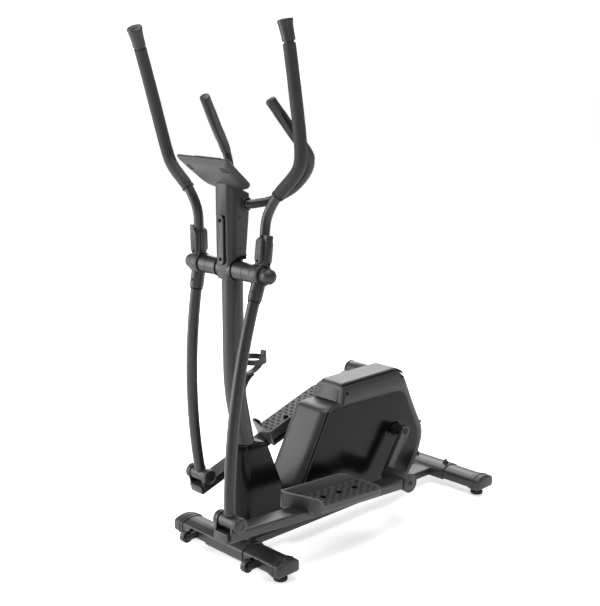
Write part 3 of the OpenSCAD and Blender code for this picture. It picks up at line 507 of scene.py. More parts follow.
cover = Shape().rings([cover_ring(942, 417), cover_ring(1000, 417), cover_ring(1057, 417),
                       cover_ring(1061, 425), cover_ring(1110, 421), cover_ring(1150, 416, True)])
piece("upper_shell", cover, "frame", "shell_plastic", ["upper_cover_left", "upper_cover_right"], bevel=1.4,
      sharp=34)
TONGUE = [(944, 417, 396, 27, 8), (920, 417, 398, 27, 6.5), (900, 417, 402, 26.5, 4), (882, 417, 405, 25, 2),
          (875, 416.4, 406, 23, 1.6), (873, 414, 407, 20, 1.2)]
tongue = Shape().layers([(z, cover_plan((nose, nose - 2, wide), (ridge, wide + out), (ridge - 8, wide + out)))
                         for z, nose, ridge, wide, out in TONGUE], "z")
piece("upper_shell_tongue", tongue, "frame", "shell_plastic", sharp=30)
lips = Shape()
for s in (-1, 1):
    lips.tube([(352, s * 35, 942), (372, s * 35.2, 942.4), (388, s * 35.2, 941), (400, s * 34, 932),
               (409, s * 31.5, 917), (413, s * 30, 903)], 1.4, 10, up=(0, 1, 0))
piece("upper_shell_lips", lips, "frame", "shell_plastic")
# Painted shade: a black block under the shell's lower edge and black half rings around the cross tube stand
# in for the shadow between shell and tube.
shade = Shape().prism([(354, 930), (394, 930), (394, 944), (354, 944)], -34.4, 34.4)
for s in (-1, 1):
    shade.lathe([(26.8, s * 33), (29.4, s * 33), (29.4, s * 36), (26.8, s * 36)], AXLE, "y",
                48, loop=True)
piece("upper_shell_painted_shade", shade, "frame", "shell_plastic", material=DARK)
collar = Shape()
for s in (-1, 1):
    collar.lathe([(12.9, s * 33), (19.5, s * 33), (20.5, s * 34), (20.5, s * 37.2), (19, s * 38.6),
                  (15, s * 38.6), (12.9, s * 37.6)], (351.3, 0, 1088), "y", 40, loop=True)
    collar.screw((378, s * 35.0, 1052), 4.2, "y", s)
    collar.screw((378, s * 35.0, 962), 4.2, "y", s)
piece("pulse_collars", collar, "frame", "shell_plastic")
shell_seam = Shape()
shell_seam.prism([(349.2, 940), (350.2, 940), (336.4, 1076), (335.4, 1076)], -0.5, 0.5)
piece("upper_shell_seam", shell_seam, "frame", "shell_plastic", material=DARK)


def capsule(inset):
    r = 14.0 - inset
    top = [(r * math.cos(a), 1047 + r * math.sin(a)) for a in [math.pi * k / 14 for k in range(15)]]
    low = [(-r * math.cos(a), 931 - r * math.sin(a)) for a in [math.pi * k / 14 for k in range(15)]]
    return top + low


inlay = Shape().layers([(414, capsule(0)), (421.4, capsule(0)), (422.6, capsule(0.5)), (423.2, capsule(1.8)),
                        (422.9, capsule(2.6))], "x")
# Painted shadow: a black slab just larger than the inlay shows as a dark rim around it, standing in for the
# shadow gap between inlay and shell.
shadow_gap = Shape().layers([(413, capsule(-1.6)), (418.2, capsule(-1.6))], "x")
piece("inlay_painted_shadow_gap", shadow_gap, "frame", "shell_plastic", material=DARK)
piece("inlay_strip", inlay, "frame", "shell_plastic", ["cover_inlay"])
holes = Shape()
for z in (933, 1045):
    holes.lathe([(5.4, 0.0), (5.4, 1.4), (4.4, 1.6), (3.6, 0.6)], (422.4, 0, z), "x", 24)
piece("inlay_screw_wells", holes, "frame", "shell_plastic", material=DARK)

holder = Shape()
HOLDER_X = 300.0
holder.lathe([(36, 604), (39, 603.2), (40, 604.4), (40, 619.6), (39, 620.8), (36.6, 620), (36, 618)],
             (HOLDER_X, 0, 0), "z", 56, loop=True)
section = rrect(7, 22, 2.5)
holder.tube([(352, 0, 500), (346, 0, 530), (345, 0, 562), (346, 0, 600), (347, 0, 628)], 1.0,
            section=rrect(8, 26, 3), up=(0, 1, 0))
holder.tube([(344, 0, 575), (322, 0, 573), (300, 0, 577), (282, 0, 586), (268, 0, 599), (261, 0, 612),
             (259, 0, 634)], 1.0,
            section=section, up=(0, 1, 0))
holder.tube([(345, 0, 512), (340, 0, 535), (330, 0, 552), (318, 0, 563), (306, 0, 570)], 1.0, section=section,
            up=(0, 1, 0))
holder.tube([(262, -11, 612), (262, 0, 614), (262, 11, 612)], 4.0, 16)
piece("cup_holder", holder, "frame", "shell_plastic", ["bottle_holder"], bevel=0.8)


# ---- Console ----
CONSOLE_HALF = 71


def console_outline(inset):
    pts = [(-CONSOLE_HALF + inset, -72 + inset), (-54 + inset, -94 + inset),
           (CONSOLE_HALF - inset, -110 + inset), (CONSOLE_HALF - inset, 110 - inset),
           (-54 + inset, 94 - inset), (-CONSOLE_HALF + inset, 72 - inset)]
    return rounded(pts, [14, 14, 6, 6, 14, 14], 6)


def wedge(p):
    """The console frame, thinner toward its upper edge."""
    return CONSOLE((p[0], p[1], p[2] if p[2] > -4 else -4 + (p[2] + 4) * (0.78 - 0.22 * p[0] / CONSOLE_HALF)))


shell = Shape(wedge)
shell.layers([(-26, console_outline(25)), (-25, console_outline(19)), (-20, console_outline(9)),
              (-13, console_outline(2.8)), (-9, console_outline(0.4)), (-8.4, console_outline(0.9)),
              (-7.8, console_outline(0.4)), (-4, console_outline(0)), (-1.4, console_outline(0.8)),
              (0, console_outline(3.2)), (0, console_outline(9)), (-1.2, console_outline(10.2))], "z")
piece("console_shell", shell, "frame", "shell_plastic", ["console_housing"], sharp=40)
ledge = Shape(CONSOLE)
ledge.layers([(-1, rrect(6, 118, 2.6, 50)), (8, rrect(5.4, 117, 2.4, 50.4)),
              (10.4, rrect(4.4, 116, 2.0, 50.6)), (11, rrect(2.4, 114, 1.0, 50.6))], "z")
piece("tablet_ledge", ledge, "frame", "shell_plastic")
slits = Shape(wedge)
for s in (-1, 1):
    for k in range(3):
        slits.prism(rrect(3.2, 26, 1.4, 44 - 8 * k, s * 74), -26.5, -22.5, "z")
piece("console_slits", slits, "frame", "shell_plastic", material=DARK)
bezel = Shape(CONSOLE)
bezel.layers([(-4, rrect(62, 122, 5)), (-1, rrect(61.6, 121.6, 4.8)), (0.3, rrect(60.4, 120.4, 4.6)),
              (0.5, rrect(58, 118, 4))], "z")
piece("display_glass", bezel, "frame", "display_window", ["console_display"])
field = Shape(CONSOLE)
field.layers([(0.4, rrect(44, 100, 2)), (0.75, rrect(44, 100, 2))], "z")
piece("display_field", field, "frame", "display_window", material=PANE)
bars = Shape(CONSOLE)
for row in range(3):
    for col in range(6):
        y = -40 + 16 * col
        x = 13 - 13 * row
        bars.prism(rrect(8, 11 if row else 7, 0.8, x, y, 2), 0.6, 0.95, "z")
piece("display_segments", bars, "frame", "display_window", material=DARK)
for k, key in ((0, "mode"), (1, "up"), (-1, "down")):
    at = (-50, 46.0 * k, 0)
    cap = Shape(CONSOLE).lathe([(8, -5.5), (8, 0.6), (7.6, 1.4), (6.6, 1.9), (4.4, 1.75), (2.0, 1.6),
                                (0, 1.55)], at, "z", 40)
    piece(f"key_{key}", cap, f"button_{key}", "key_rubber", [f"button_{key}"])
wells = Shape(CONSOLE)
for k in (-1, 0, 1):
    wells.lathe([(8.5, -3), (10.4, -3), (10.4, 0.2), (9.8, 0.7), (8.9, 0.7), (8.5, 0.2)], (-50, 46.0 * k, 0),
                "z", 40, loop=True)
piece("key_surrounds", wells, "frame", "display_window")

# ---- Pulse bar ----
PULSE = [(351, 0, 1088), (351, 34, 1088), (332, 58, 1091), (296, 92, 1103), (254, 145, 1146),
         (241, 180, 1215), (293, 164, 1295), (353, 141, 1382)]
GRIP_SPAN, PLATE_SPAN = slice(40, 57), slice(44, 54)
half = curve_through(PULSE, 8)
whole = [Vector((p[0], -p[1], p[2])) for p in reversed(half[1:])] + half
piece("pulse_tube", Shape().tube(whole, 13.4, 28, up=(1, 0, -0.6)), "frame", "frame_paint", ["pulse_bar"])
sleeves, plates, studs = Shape(), Shape(), Shape()
for s in (-1, 1):
    part = [Vector((p[0], s * p[1], p[2])) for p in half[GRIP_SPAN]]
    end = (part[-1] - part[-2]).normalized()
    part += [part[-1] + end * d for d in (3, 5, 6)]
    radii = [14.0, 15.6] + [15.7] * (len(part) - 5) + [14.6, 11.6, 6.0]
    sleeves.tube(part, radii, 32, up=(1, 0, -0.6))
    cover_part = [Vector((p[0], s * p[1], p[2])) for p in half[PLATE_SPAN]]
    plates.tube(cover_part, [15.8] + [16.4] * (len(cover_part) - 2) + [15.8], 32, up=(1, 0, -0.6))
    for q in (cover_part[1], cover_part[-2]):
        studs.lathe([(2.4, 15.6), (2.4, 17.2), (1.6, 17.7)], (q.x, q.y, q.z), "x", 14)
piece("pulse_sleeves", sleeves, "frame", "shell_plastic", ["pulse_grips"])
piece("pulse_plates", plates, "frame", "dark_steel", ["pulse_sensors"])
piece("pulse_studs", studs, "frame", "dark_steel")


# ---- Swing arms ----
BAR = [(0, 135, 33), (1, 129, 75), (3, 125, 115), (6, 124, 165), (10, 156, 226), (17, 212, 280),
       (22, 234, 335), (66, 220, 480), (115, 203, 630), (130, 197, 668)]
bar = curve_through(BAR, 10)
for _ in range(14):
    bar = [p if i in (0, len(bar) - 1) else (bar[i - 1] + p * 2 + bar[i + 1]) / 4 for i, p in enumerate(bar)]
BOW = 33.0
FOAM_SPAN = slice(40, 81)
WELD_AT = 0.968
ARM_RUN = 700  # about the tube length, for places along it in mm
PAD_LEAN_X, PAD_LEAN_Y, PAD_Y = 0.045, -0.09, 131.5
COLUMN_LEAN_X, COLUMN_LEAN_Y = 0.055, -0.05
drop_y = LINK_Y - ARM_Y
chord = math.hypot(ARM_R, drop_y)
bow_r = ((chord / 2) ** 2 + BOW ** 2) / (2 * BOW)


def arm_point(t):
    """Point of the bowed lower tube, t from 0 at the hub to 1 at the lower pivot."""
    half_angle = math.asin(chord / 2 / bow_r)
    a = half_angle * (1 - 2 * t)
    x = BOW - bow_r + bow_r * math.cos(a)
    h = -chord / 2 + bow_r * math.sin(a)
    c, s = ARM_R / chord, drop_y / chord
    return x, ARM_Y - h * s, h * c


PAD_R, PAD_MID = 14.5, 66.5
PAD_SIDES = ((1, 17), (-1, -16))  # direction the pad faces, x of its plane
HUB_LAYERS = [(25, 30, 34, 0, 134), (28, 33, 38, 0, 134), (60, 33, 36, 1, 130), (92, 32, 33, 2, 127),
              (99, 31, 32, 2.4, 126.5), (102, 28, 29, 2.6, 126.4)]


for side, data in SIDES.items():
    body = f"{side}_arm"
    lower = Shape(data["arm"])
    lower.tube([arm_point(k / 36) for k in range(1, 36)], 17, 36, up=(0, 1, 0))
    lower.lathe([(24, 80.6), (26, 80.6), (27, 81.6), (27, 149), (26, 150), (16, 150), (16, 80.6)], (0, 0, 0),
                "y", 56, loop=True)
    lower.lathe([(10.4, 161.6), (19.6, 161.6), (21, 163), (21, 217), (19.6, 218.4), (10.4, 218.4)],
                (0, 0, -ARM_R), "y", 48, loop=True)
    lower.lathe([(17, 12), (17, 29.5), (16, 31)], (0, ARM_Y, 0), "z", 40)
    sleeve = [Vector(arm_point(k / ARM_RUN)) for k in (20, 26, 30, 66, 74, 76)]
    lower.tube(sleeve, [19, 20.4, 20.6, 20.6, 20.2, 18], 40, up=(0, 1, 0))
    mid = arm_point(50 / ARM_RUN)
    lower.lathe([(4.6, 19), (4.6, 21.4), (3.6, 22.4), (2, 22.4), (1.8, 21.2)], (mid[0], mid[1], mid[2]), "x",
                20)
    p, q = Vector(arm_point(WELD_AT)), Vector(arm_point(WELD_AT + 0.004))
    lower.tube([p - (q - p) * 0.6, p, q, q + (q - p) * 0.6], [17.2, 19, 19, 17.2], 36, up=(0, 1, 0))
    piece(f"{side}_arm_tube", lower, body, "frame_paint", [f"{side}_arm"])
    upper = Shape(data["arm"]).tube(bar, 14.5, 36, up=(1, 0.2, 0))
    piece(f"{side}_bar_tube", upper, body, "frame_paint", [f"{side}_handlebar"])
    foam_path = bar[FOAM_SPAN]
    foam = Shape(data["arm"])
    foam_r = [15.6, 17.4] + [18.0 + 0.12 * math.sin(k * 1.7) for k in range(len(foam_path) - 3)] + [18.0]
    foam.tube(foam_path, foam_r, 40, up=(1, 0.2, 0))
    piece(f"{side}_foam", foam, body, "soft_foam", [f"{side}_grip"])
    lip = Shape(data["arm"])
    start, ahead = foam_path[0], (foam_path[1] - foam_path[0]).normalized()
    lip.tube([start - ahead * 5, start - ahead * 4, start + ahead * 1, start + ahead * 2],
             [15.2, 18.4, 18.8, 17.6], 40, up=(1, 0.2, 0))
    piece(f"{side}_foam_ring", lip, body, "foot_rubber")
    cap = Shape(data["arm"])
    tops = [Vector(p) for p in ((115.2, 202.9, 630), (117, 202.2, 635), (119, 201.4, 641), (122, 200, 648),
                                (129, 197, 665), (133, 195.4, 676), (134.2, 194.9, 679.5),
                                (135.2, 194.5, 681.6), (135.6, 194.3, 682.8), (135.8, 194.2, 683.2))]
    cap.tube(tops, [18.2, 18.9, 18.6, 18.8, 20.2, 21.9, 22.6, 21.6, 18.5, 12], 48, up=(1, 0.2, 0))
    cap.tube([Vector((135.6, 194.3, 682.6)), Vector((136.0, 194.15, 683.8)), Vector((136.1, 194.1, 684.1))],
             [12, 11, 8], 32, up=(1, 0.2, 0))
    piece(f"{side}_bar_cap", cap, body, "shell_plastic", [f"{side}_handle_cap"])
    hub = Shape(data["arm"])
    hub.layers([(z, rrect(w, d, 10, cx, cy, 6)) for z, w, d, cx, cy in HUB_LAYERS], "z")
    for k, cx in PAD_SIDES:
        outline = half_circle(PAD_R, 89, 0) + half_circle(PAD_R, 44, math.pi)
        rings = []
        for h, inset in ((-6, 0), (3.2, 0), (5.0, 0.7), (6.0, 2.2)):
            ring = []
            for y, z in outline:
                lean_x, lean_y = PAD_LEAN_X * (z - 60), PAD_LEAN_Y * (z - 60)
                height = z if inset == 0 else PAD_MID + (z - PAD_MID) * (1 - inset / 37)
                ring.append((cx + k * h + lean_x, PAD_Y + lean_y + y * (1 - inset / PAD_R), height))
            rings.append(ring)
        hub.rings(rings)
    column = []
    for z, r in ((27, 10.5), (28.5, 12), (111, 12), (112.6, 11.2), (113.2, 9.8)):
        ring = []
        cx, shift = 0.5 + COLUMN_LEAN_X * (z - 30), COLUMN_LEAN_Y * (z - 30)
        for n in range(17):
            a = -math.pi / 2 + math.pi * n / 16
            ring.append((cx + r * math.sin(a), 150.5 + shift + r * 0.92 * math.cos(a), z))
        ring += [(cx + r, 141 + shift, z), (cx - r, 141 + shift, z)]
        column.append(ring)
    hub.rings(column)
    hub.lathe([(31, ARM_Y - 20), (32, ARM_Y - 18), (32, ARM_Y + 13), (31, ARM_Y + 15), (27.1, ARM_Y + 15),
               (27.1, ARM_Y - 20)],
              (0, 0, 0), "y", 56, loop=True)
    piece(f"{side}_hub_boot", hub, body, "shell_plastic", [f"{side}_hub_cover"], sharp=40)
    lines = Shape(data["arm"])
    for k, cx in PAD_SIDES:
        seam_line = [(cx + k * 5.6 + PAD_LEAN_X * (z - 60), PAD_Y + PAD_LEAN_Y * (z - 60), z)
                     for z in (36, 66, 98)]
        lines.tube(seam_line, 0.9, 8, up=(0, 1, 0))
    lines.lathe([(3.4, 4), (3.4, 6.6), (2.4, 6.6), (2.2, 5.0)], (17, 133.5, 38), "x", 20)
    lines.lathe([(3.0, 10.9), (3.0, 12.2), (2.2, 12.2), (2.0, 11)], (1, 150.6, 34), "y", 20)
    lines.tube([(x - 0.2, y, z) for x, y, z in (arm_point(78 / ARM_RUN), arm_point(79.5 / ARM_RUN))],
               [19.2, 19.2], 36, up=(0, 1, 0))
    piece(f"{side}_hub_lines", lines, body, "shell_plastic", material=DARK)
    knob = Shape(data["arm"])
    knob.lathe([(5.4, 96), (5.4, 108), (4.6, 109.6), (2.8, 110)], (16.5, 127.5, 0), "z", 28)
    piece(f"{side}_hub_button", knob, body, "shell_plastic")
    dome = Shape()
    s = data["sign"]
    profile = [(19.5, s * 150.6), (23, s * 150.6), (24.2, s * 152), (24.2, s * 156), (23.3, s * 157.4),
               (23, s * 160)]
    profile += [(23 * math.cos(a), s * (166 + 24 * math.sin(a)))
                for a in [math.pi / 2 * k / 10 for k in range(11)]]
    dome.lathe(profile, AXLE, "y", 56)
    piece(f"axle_domes_{side}", dome, "frame", "shell_plastic", ["dome_caps"] if side == "left" else ())

# ---- Pedal links, pedals and cranks ----
BOSS_R, EYE_R = 19, 14.5

for side, data in SIDES.items():
    body = f"{side}_pedal_link"
    place = data["link"]
    cs, sn = math.cos(TUBE_SLOPE), math.sin(TUBE_SLOPE)

    def tube_place(p, z0=0.0, place=place, cs=cs, sn=sn):
        x, y, z = p[0], p[1], p[2] + z0
        return place((x * cs + z * sn, y, -x * sn + z * cs - TUBE_DROP))

    def deck_place(p, tube_place=tube_place):
        return tube_place(p, 15.0)

    beam = Shape(tube_place)
    beam.prism(rrect(60, 30, 6.5, LINK_Y, 0, 6), -LINK_LEN + 24, 29.2, "x")
    beam.layers([(29, rrect(59, 29, 6.2, LINK_Y)), (30.6, rrect(58, 28, 6, LINK_Y)),
                 (31.4, rrect(54, 24, 5, LINK_Y))], "x")
    piece(f"{side}_link_beam", beam, body, "frame_paint", [f"{side}_link"])
    lugs = Shape(place)
    for y in (153.0, 219.0):
        cheek = [(-24, -44), (-24, 0)] + [(-24 * math.cos(a), 24 * math.sin(a))
                                          for a in [math.pi * k / 20 for k in range(1, 20)]]
        cheek += [(24, 0), (24, -44)]
        lugs.prism(cheek, y, y + 8)
    piece(f"{side}_link_cheeks", lugs, body, "frame_paint", bevel=1.2)
    housing = Shape(place)
    at = (-LINK_LEN, 0, 0)
    housing.lathe([(11, 122.7), (26, 122.7), (29, 124), (30, 126), (30, 215), (29.2, 218), (31, 219),
                   (31.4, 220.4), (31.4, 222.6), (30.4, 224), (26, 224.6), (24.6, 223.4), (11, 223.4)], at,
                  "y", 64, loop=True)
    piece(f"{side}_pin_housing", housing, body, "shell_plastic")
    disc = Shape(place)
    disc.lathe([(24, 222.6), (24, 223.6), (22.4, 224.2), (10.4, 224.6), (9.6, 225.8), (8.8, 227.4),
                (5, 228.4)], at, "y", 56)
    disc.lathe([(5.6, 227), (5.6, 231), (4.4, 232)], at, "y", 6)
    piece(f"{side}_pin_disc", disc, body, "shell_plastic")
    bolts = Shape(place)
    for y, d in ((227.0, 1), (153.0, -1)):
        bolts.lathe([(23.6, y), (24, y + d * 1), (24, y + d * 7.5), (22.6, y + d * 10.6), (19, y + d * 12.4),
                     (9.8, y + d * 13), (9.2, y + d * 11.4), (5, y + d * 11.4)], (0, 0, 0), "y", 52)
    piece(f"{side}_link_caps", bolts, body, "shell_plastic", [f"{side}_link_fasteners"])

    deck = Shape(deck_place)
    plan = rounded([(-288, 243), (-258, 146), (-258, 124), (-600, 124), (-600, 221), (-578, 243)],
                   [12, 14, 5, 8, 16, 16], 5)

    def plan_in(inset, plan=plan):
        cx, cy = -430.0, 183.0
        return [(x - inset * (1 if x > cx else -1), y - inset * (1 if y > cy else -1)) for x, y in plan]
    deck.layers([(-14, plan_in(3)), (-13, plan_in(1)), (-3, plan_in(0.2)), (-2.4, plan_in(1.2)),
                 (-1.6, plan_in(1.2)), (-1.0, plan_in(0)), (6.5, plan_in(0)), (8.2, plan_in(0.9)),
                 (8.9, plan_in(2.6)), (8.9, plan_in(5.5)), (8.0, plan_in(6.6)), (8.0, plan_in(8))], "z")
    piece(f"{side}_deck", deck, body, "shell_plastic", [f"{side}_pedal"], sharp=34, material=PEDAL_GREY_AND_HIGHLIGHT)
    guard = Shape(deck_place)
    rim = rounded([(-258, -14), (-258, 41), (-528, 42), (-600, 6), (-600, -14)], [4, 5, 46, 10, 4], 7)
    guard.layers([(124, [(x * 0.996 - 1.7, z * 0.96 + 0.5) for x, z in rim]), (125.2, rim), (128.4, rim),
                  (129.6, [(x * 0.996 - 1.7, z * 0.96 + 0.5) for x, z in rim])], "y")
    edge = [((-262, 126), (1, 0)), ((-258.5, 134), (1, 0)), ((-259, 146), (0.99, 0.15)),
            ((-264, 163), (0.96, 0.29)), ((-280, 215), (0.96, 0.29)), ((-287, 236), (0.9, 0.44)),
            ((-294, 243), (0.5, 0.87)), ((-306, 244.5), (0.1, 1)), ((-318, 243.5), (0, 1))]
    height = [40, 40, 40, 40, 40, 40, 38, 28, 11]
    toe = Shape(deck_place).rings([[(x + u * d, y + v * d, z * h / 35 if z > 0 else z) for d, z in (
        (-1, -14), (1.2, 2), (5.2, 32), (5.0, 34), (3.6, 35.2), (1.6, 34.6), (0.6, 32), (-4.4, 3), (-6, -4))]
        for ((x, y), (u, v)), h in zip(edge, height)])
    piece(f"{side}_toe_wall", toe, body, "shell_plastic")
    guard.tube([(x + u * 3.2, y + v * 3.2, h + 0.4) for ((x, y), (u, v)), h in zip(edge, height)], 2.4, 12,
               up=(0, 0, 1))
    piece(f"{side}_deck_guard", guard, body, "shell_plastic", material=GUARD)
    tread = Shape(deck_place)
    for row in range(19):
        for col in range(4):
            x = -292 - 15.6 * row
            y = 145 + 24.5 * col + (12.2 if row % 2 else 0)
            if y > 232 or (x > -300 and y > 205) or (x > -284 and y > 170):
                continue
            dash = rrect(6.2, 15, 3.0, x, y, 3)
            tread.layers([(7.6, dash), (9.3, dash),
                          (9.8, [(x + (a - x) * 0.8, y + (b - y) * 0.88) for a, b in dash])], "z")
    piece(f"{side}_tread", tread, body, "shell_plastic", sharp=30, material=FINISH["foot_rubber"])
    heads = Shape(deck_place)
    for x in (-380.0, -450.0, -520.0):
        heads.lathe([(9.6, 7.9), (9.6, 9.4), (8.8, 10.8), (6.4, 12.0), (3.6, 12.5), (3.2, 10.8)],
                    (x, LINK_Y - 6, 0), "z", 32)
    piece(f"{side}_deck_bolts", heads, body, "dark_steel", material=DARK)

    place = data["crank"]
    arm = Shape(place)

    def bone(inset):
        return half_circle(BOSS_R - inset, 0, 0, 16) + half_circle(EYE_R - inset, -THROW, math.pi, 16)
    arm.layers([(108, bone(2.4)), (109, bone(0.8)), (110.4, bone(0)), (119.6, bone(0)), (121.2, bone(0.8)),
                (122, bone(2.4)), (122, bone(6)), (121, bone(7))], "y")
    arm.lathe([(18.1, 64), (18.1, 104), (19, 106), (19, 110)], (0, 0, 0), "y", 48)
    piece(f"{side}_crank_arm", arm, "crank", "frame_paint", [f"{side}_crank"])
    plug = Shape(place)
    plug.lathe([(11, 120.6), (11, 122.0), (9.6, 122.3), (4, 122.3)], (0, 0, 0), "y", 36)
    piece(f"{side}_crank_plug", plug, "crank", "gloss_shell")

# ---- Casing ----
EDGE = [(-30, 466), (-301, 466), (-335, 445), (-381, 341), (-440, 228), (-417, 155), (-367, 90), (-340, 60),
        (198, 60), (198, 160), (63, 408), (44, 415), (-16, 415)]
FACE = [(-28, 425), (-288, 421), (-310, 406), (-354, 331), (-409, 228), (-390, 162), (-345, 100), (-325, 60),
        (172, 60), (168, 190), (50, 399), (36, 405), (-18, 405)]
EDGE_R = [4, 26, 22, 60, 46, 50, 40, 4, 4, 60, 10, 14, 2]
FACE_R = [4, 30, 24, 60, 46, 50, 40, 4, 4, 60, 10, 12, 2]
edge_line, face_line = rounded(EDGE, EDGE_R, 7), rounded(FACE, FACE_R, 7)


def casing_ring(t):
    """Outline of the casing between its edge (t = 0) and its flat face (t = 1)."""
    return [(a[0] + (b[0] - a[0]) * t, a[1] + (b[1] - a[1]) * t) for a, b in zip(edge_line, face_line)]


for side, data in SIDES.items():
    s = data["sign"]
    levels = [(0.0, edge_line), (s * 38.0, edge_line)]
    for k in range(0, 9):
        a = math.pi / 2 * k / 8
        levels.append((s * (40 + 30 * math.sin(a)), casing_ring(1 - math.cos(a))))
    levels.append((s * 70.0, casing_ring(1.04)))
    piece(f"casing_shell_{side}", Shape().layers(levels, "y"), "frame", "shell_plastic", [f"casing_{side}"],
          sharp=44)
trim_line = rounded([(-14, 417), (-32, 470), (-44, 474), (-301, 475), (-334, 456), (-331, 448.5), (-301, 467),
                     (-44, 463)],
                    [3, 8, 8, 26, 4, 3, 20, 4], 6)


def trim_in(inset):
    return [(x - inset * 0.4, z - inset if z > 452 else z) for x, z in trim_line]


trim = Shape().layers([(-46, trim_in(4)), (-44.6, trim_in(1.2)), (-42.6, trim_in(0)), (42.6, trim_in(0)),
                       (44.6, trim_in(1.2)), (46, trim_in(4))], "y")
piece("casing_trim", trim, "frame", "shell_plastic", ["casing_top_trim"], sharp=30)
# Black tubes: dark seam lines along the trim, and painted shade in the groove between the casing face and the
# side panel.
groove = Shape()
for s in (-1, 1):
    line = [(x, s * 46.2, z) for x, z in [(-38, 466), (-150, 467.6), (-300, 467.6), (-322, 457), (-334, 447)]]
    groove.tube(line, 1.7, 10, up=(0, 1, 0))
    groove.tube([(x, s * 69.4, z) for x, z in ((49, 403), (166, 190), (165, 95))], 2.2, 10, up=(0, 1, 0))
groove.tube([(-13.5, y, 415.6) for y in (-45, 0, 45)], 1.7, 10, up=(0, 0, 1))
piece("casing_seams_and_painted_groove_shade", groove, "frame", "shell_plastic", material=DARK)
PANEL = [(44, 401), (20, 404), (-60, 408), (-290, 400), (-316, 388), (-394, 229), (-376, 166), (-336, 106),
         (-320, 84), (158, 84), (160, 190)]
panel_line = rounded(PANEL, [5, 6, 60, 26, 20, 40, 40, 30, 6, 10, 60], 7)


def panel_in(inset):
    cx, cz = -110.0, 260.0
    out = []
    for x, z in panel_line:
        d = math.hypot(x - cx, z - cz)
        out.append((x - (x - cx) * inset / d, z - (z - cz) * inset / d))
    return out


for side, data in SIDES.items():
    s = data["sign"]
    rim = Shape().layers([(s * 66.0, panel_in(-3.0)), (s * 70.8, panel_in(-2.8)), (s * 71.6, panel_in(-2.0)),
                          (s * 71.2, panel_in(-0.8)), (s * 69.4, panel_in(-0.4))], "y")
    piece(f"panel_rim_{side}", rim, "frame", "shell_plastic")
    # Painted highlight: a thin light grey tube along the panel's front edge stands in for the light caught on
    # its bevel.
    nose = Shape().tube([(x, s * 70.4, z)
                         for x, z in ((40, 402.4), (43, 401.6), (46.4, 398), (161, 190), (159, 97))], 1.6, 12,
                        up=(0, 1, 0))
    piece(f"panel_edge_painted_highlight_{side}", nose, "frame", "shell_plastic", material=PEDAL_GREY_AND_HIGHLIGHT)
    gloss = Shape().layers([(s * 69.2, panel_in(0)), (s * 71.0, panel_in(0.2)), (s * 71.5, panel_in(1.2)),
                            (s * 71.6, panel_in(3.0))], "y")
    piece(f"gloss_panel_{side}", gloss, "frame", "gloss_shell", ["side_panels"] if side == "left" else ())
    dish = Shape().lathe([(24, s * 69), (24, s * 72.4), (25, s * 72.9), (29, s * 72.5), (34, s * 71.8),
                          (34, s * 69)],
                         (CRANK_X, 0, CRANK_Z), "y", 64, loop=True)
    piece(f"crank_dish_{side}", dish, "frame", "gloss_shell")
    # Painted shade: a black ring inside the dish stands in for the shade in the deep gap around the crank
    # boss.
    well = Shape().lathe([(23.9, s * 60), (23.9, s * 71.8), (18.4, s * 71.8), (18.4, s * 60)],
                         (CRANK_X, 0, CRANK_Z), "y", 48, loop=True)
    piece(f"crank_well_painted_shade_{side}", well, "frame", "shell_plastic", material=DARK)
    fix = Shape()
    for x, z, y in ((-40, 444, 66.4), (-317, 442, 60.6), (-413, 262, 62.0), (-352, 118, 66.0)):
        fix.lathe([(5.2, s * (y - 3)), (5.2, s * (y + 1.0)), (4.2, s * (y + 1.6)), (2.2, s * (y + 1.6)),
                   (2.0, s * y)], (x, 0, z),
                  "y", 24)
    piece(f"casing_screws_{side}", fix, "frame", "dark_steel", material=DARK)

# ---- Studio ----
ground = bpy.data.meshes.new("floor")
ground.from_pydata([(-30, -30, 0), (30, -30, 0), (30, 30, 0), (-30, 30, 0)], [], [(0, 1, 2, 3)])
floor = bpy.data.objects.new("floor", ground)
bpy.context.scene.collection.objects.link(floor)
pale, tree, shader = new_material("studio_floor")
shader.inputs["Base Color"].default_value = (0.88, 0.88, 0.88, 1)
shader.inputs["Emission Color"].default_value = (1, 1, 1, 1)
shader.inputs["Emission Strength"].default_value = 0.6
shader.inputs["Roughness"].default_value = 0.85
ground.materials.append(pale)

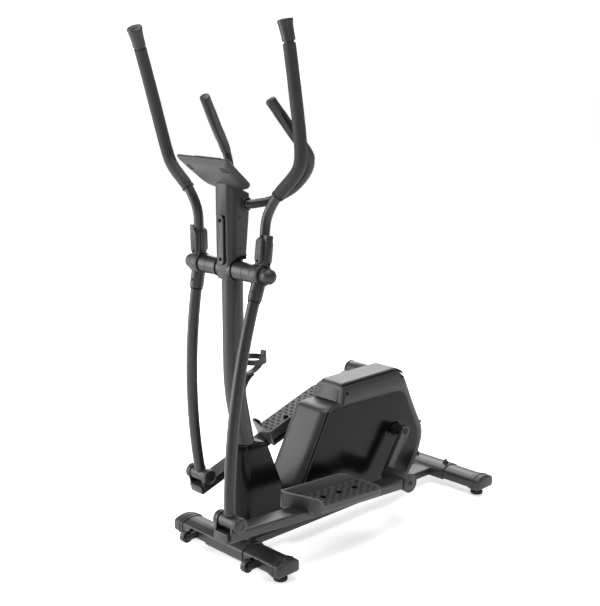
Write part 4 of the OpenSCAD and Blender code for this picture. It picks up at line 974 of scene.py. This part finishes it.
world = bpy.data.worlds.new("studio")
bpy.context.scene.world = world
world.use_nodes = True
sky = world.node_tree
coord = sky.nodes.new("ShaderNodeTexCoord")
parts = sky.nodes.new("ShaderNodeSeparateXYZ")
link(sky, coord, "Generated", parts, "Vector")
fade = sky.nodes.new("ShaderNodeMapRange")
fade.inputs["From Min"].default_value = -0.9
fade.inputs["From Max"].default_value = 0.9
fade.inputs["To Min"].default_value = 0.75
fade.inputs["To Max"].default_value = 0.14
link(sky, parts, "Y", fade, "Value")
seen = sky.nodes.new("ShaderNodeLightPath")
choose = sky.nodes.new("ShaderNodeMix")
choose.inputs["B"].default_value = 1.25
link(sky, seen, "Is Camera Ray", choose, "Factor")
link(sky, fade, "Result", choose, "A")
link(sky, choose, "Result", sky.nodes["Background"], "Strength")
sky.nodes["Background"].inputs["Color"].default_value = (1, 1, 1, 1)


def lamp(name, place, target, size, power):
    """Area lamp aimed at target, hidden from the camera."""
    light = bpy.data.lights.new(name, "AREA")
    light.shape = "RECTANGLE"
    light.size, light.size_y = size
    light.energy = power
    ob = bpy.data.objects.new(name, light)
    ob.location = place
    ob.rotation_euler = (Vector(target) - Vector(place)).to_track_quat("-Z", "Y").to_euler()
    ob.visible_camera = False
    bpy.context.scene.collection.objects.link(ob)


lamp("key", (2.9, -2.5, 1.5), (0, 0, 0.7), (2.2, 2.6), 130)
lamp("back", (-2.6, -2.4, 2.3), (0, 0, 0.5), (2.4, 1.8), 75)
lamp("top", (0.4, 0.2, 4.0), (0, 0, 0), (2.6, 2.6), 130)
lamp("edge", (-2.8, 2.4, 1.6), (0, 0, 0.8), (0.5, 2.4), 18)
lamp("strip", (1.1, 3.4, 1.4), (0, 0, 0.7), (0.25, 2.6), 16)

FOCAL_RATIO = 1117.68 / 606  # focal length over picture height
eye = bpy.data.cameras.new("camera")
eye.sensor_width = 36.0
eye.lens = FOCAL_RATIO * eye.sensor_width
camera = bpy.data.objects.new("camera", eye)
camera.location = (2.4451, 2.4125, 1.5252)
az, el = math.radians(45.88), math.radians(12.92)
ahead = Vector((-math.cos(el) * math.cos(az), -math.cos(el) * math.sin(az), -math.sin(el)))
camera.rotation_euler = ahead.to_track_quat("-Z", "Y").to_euler()
bpy.context.scene.collection.objects.link(camera)
bpy.context.scene.camera = camera
bpy.context.scene.view_settings.view_transform = "Standard"
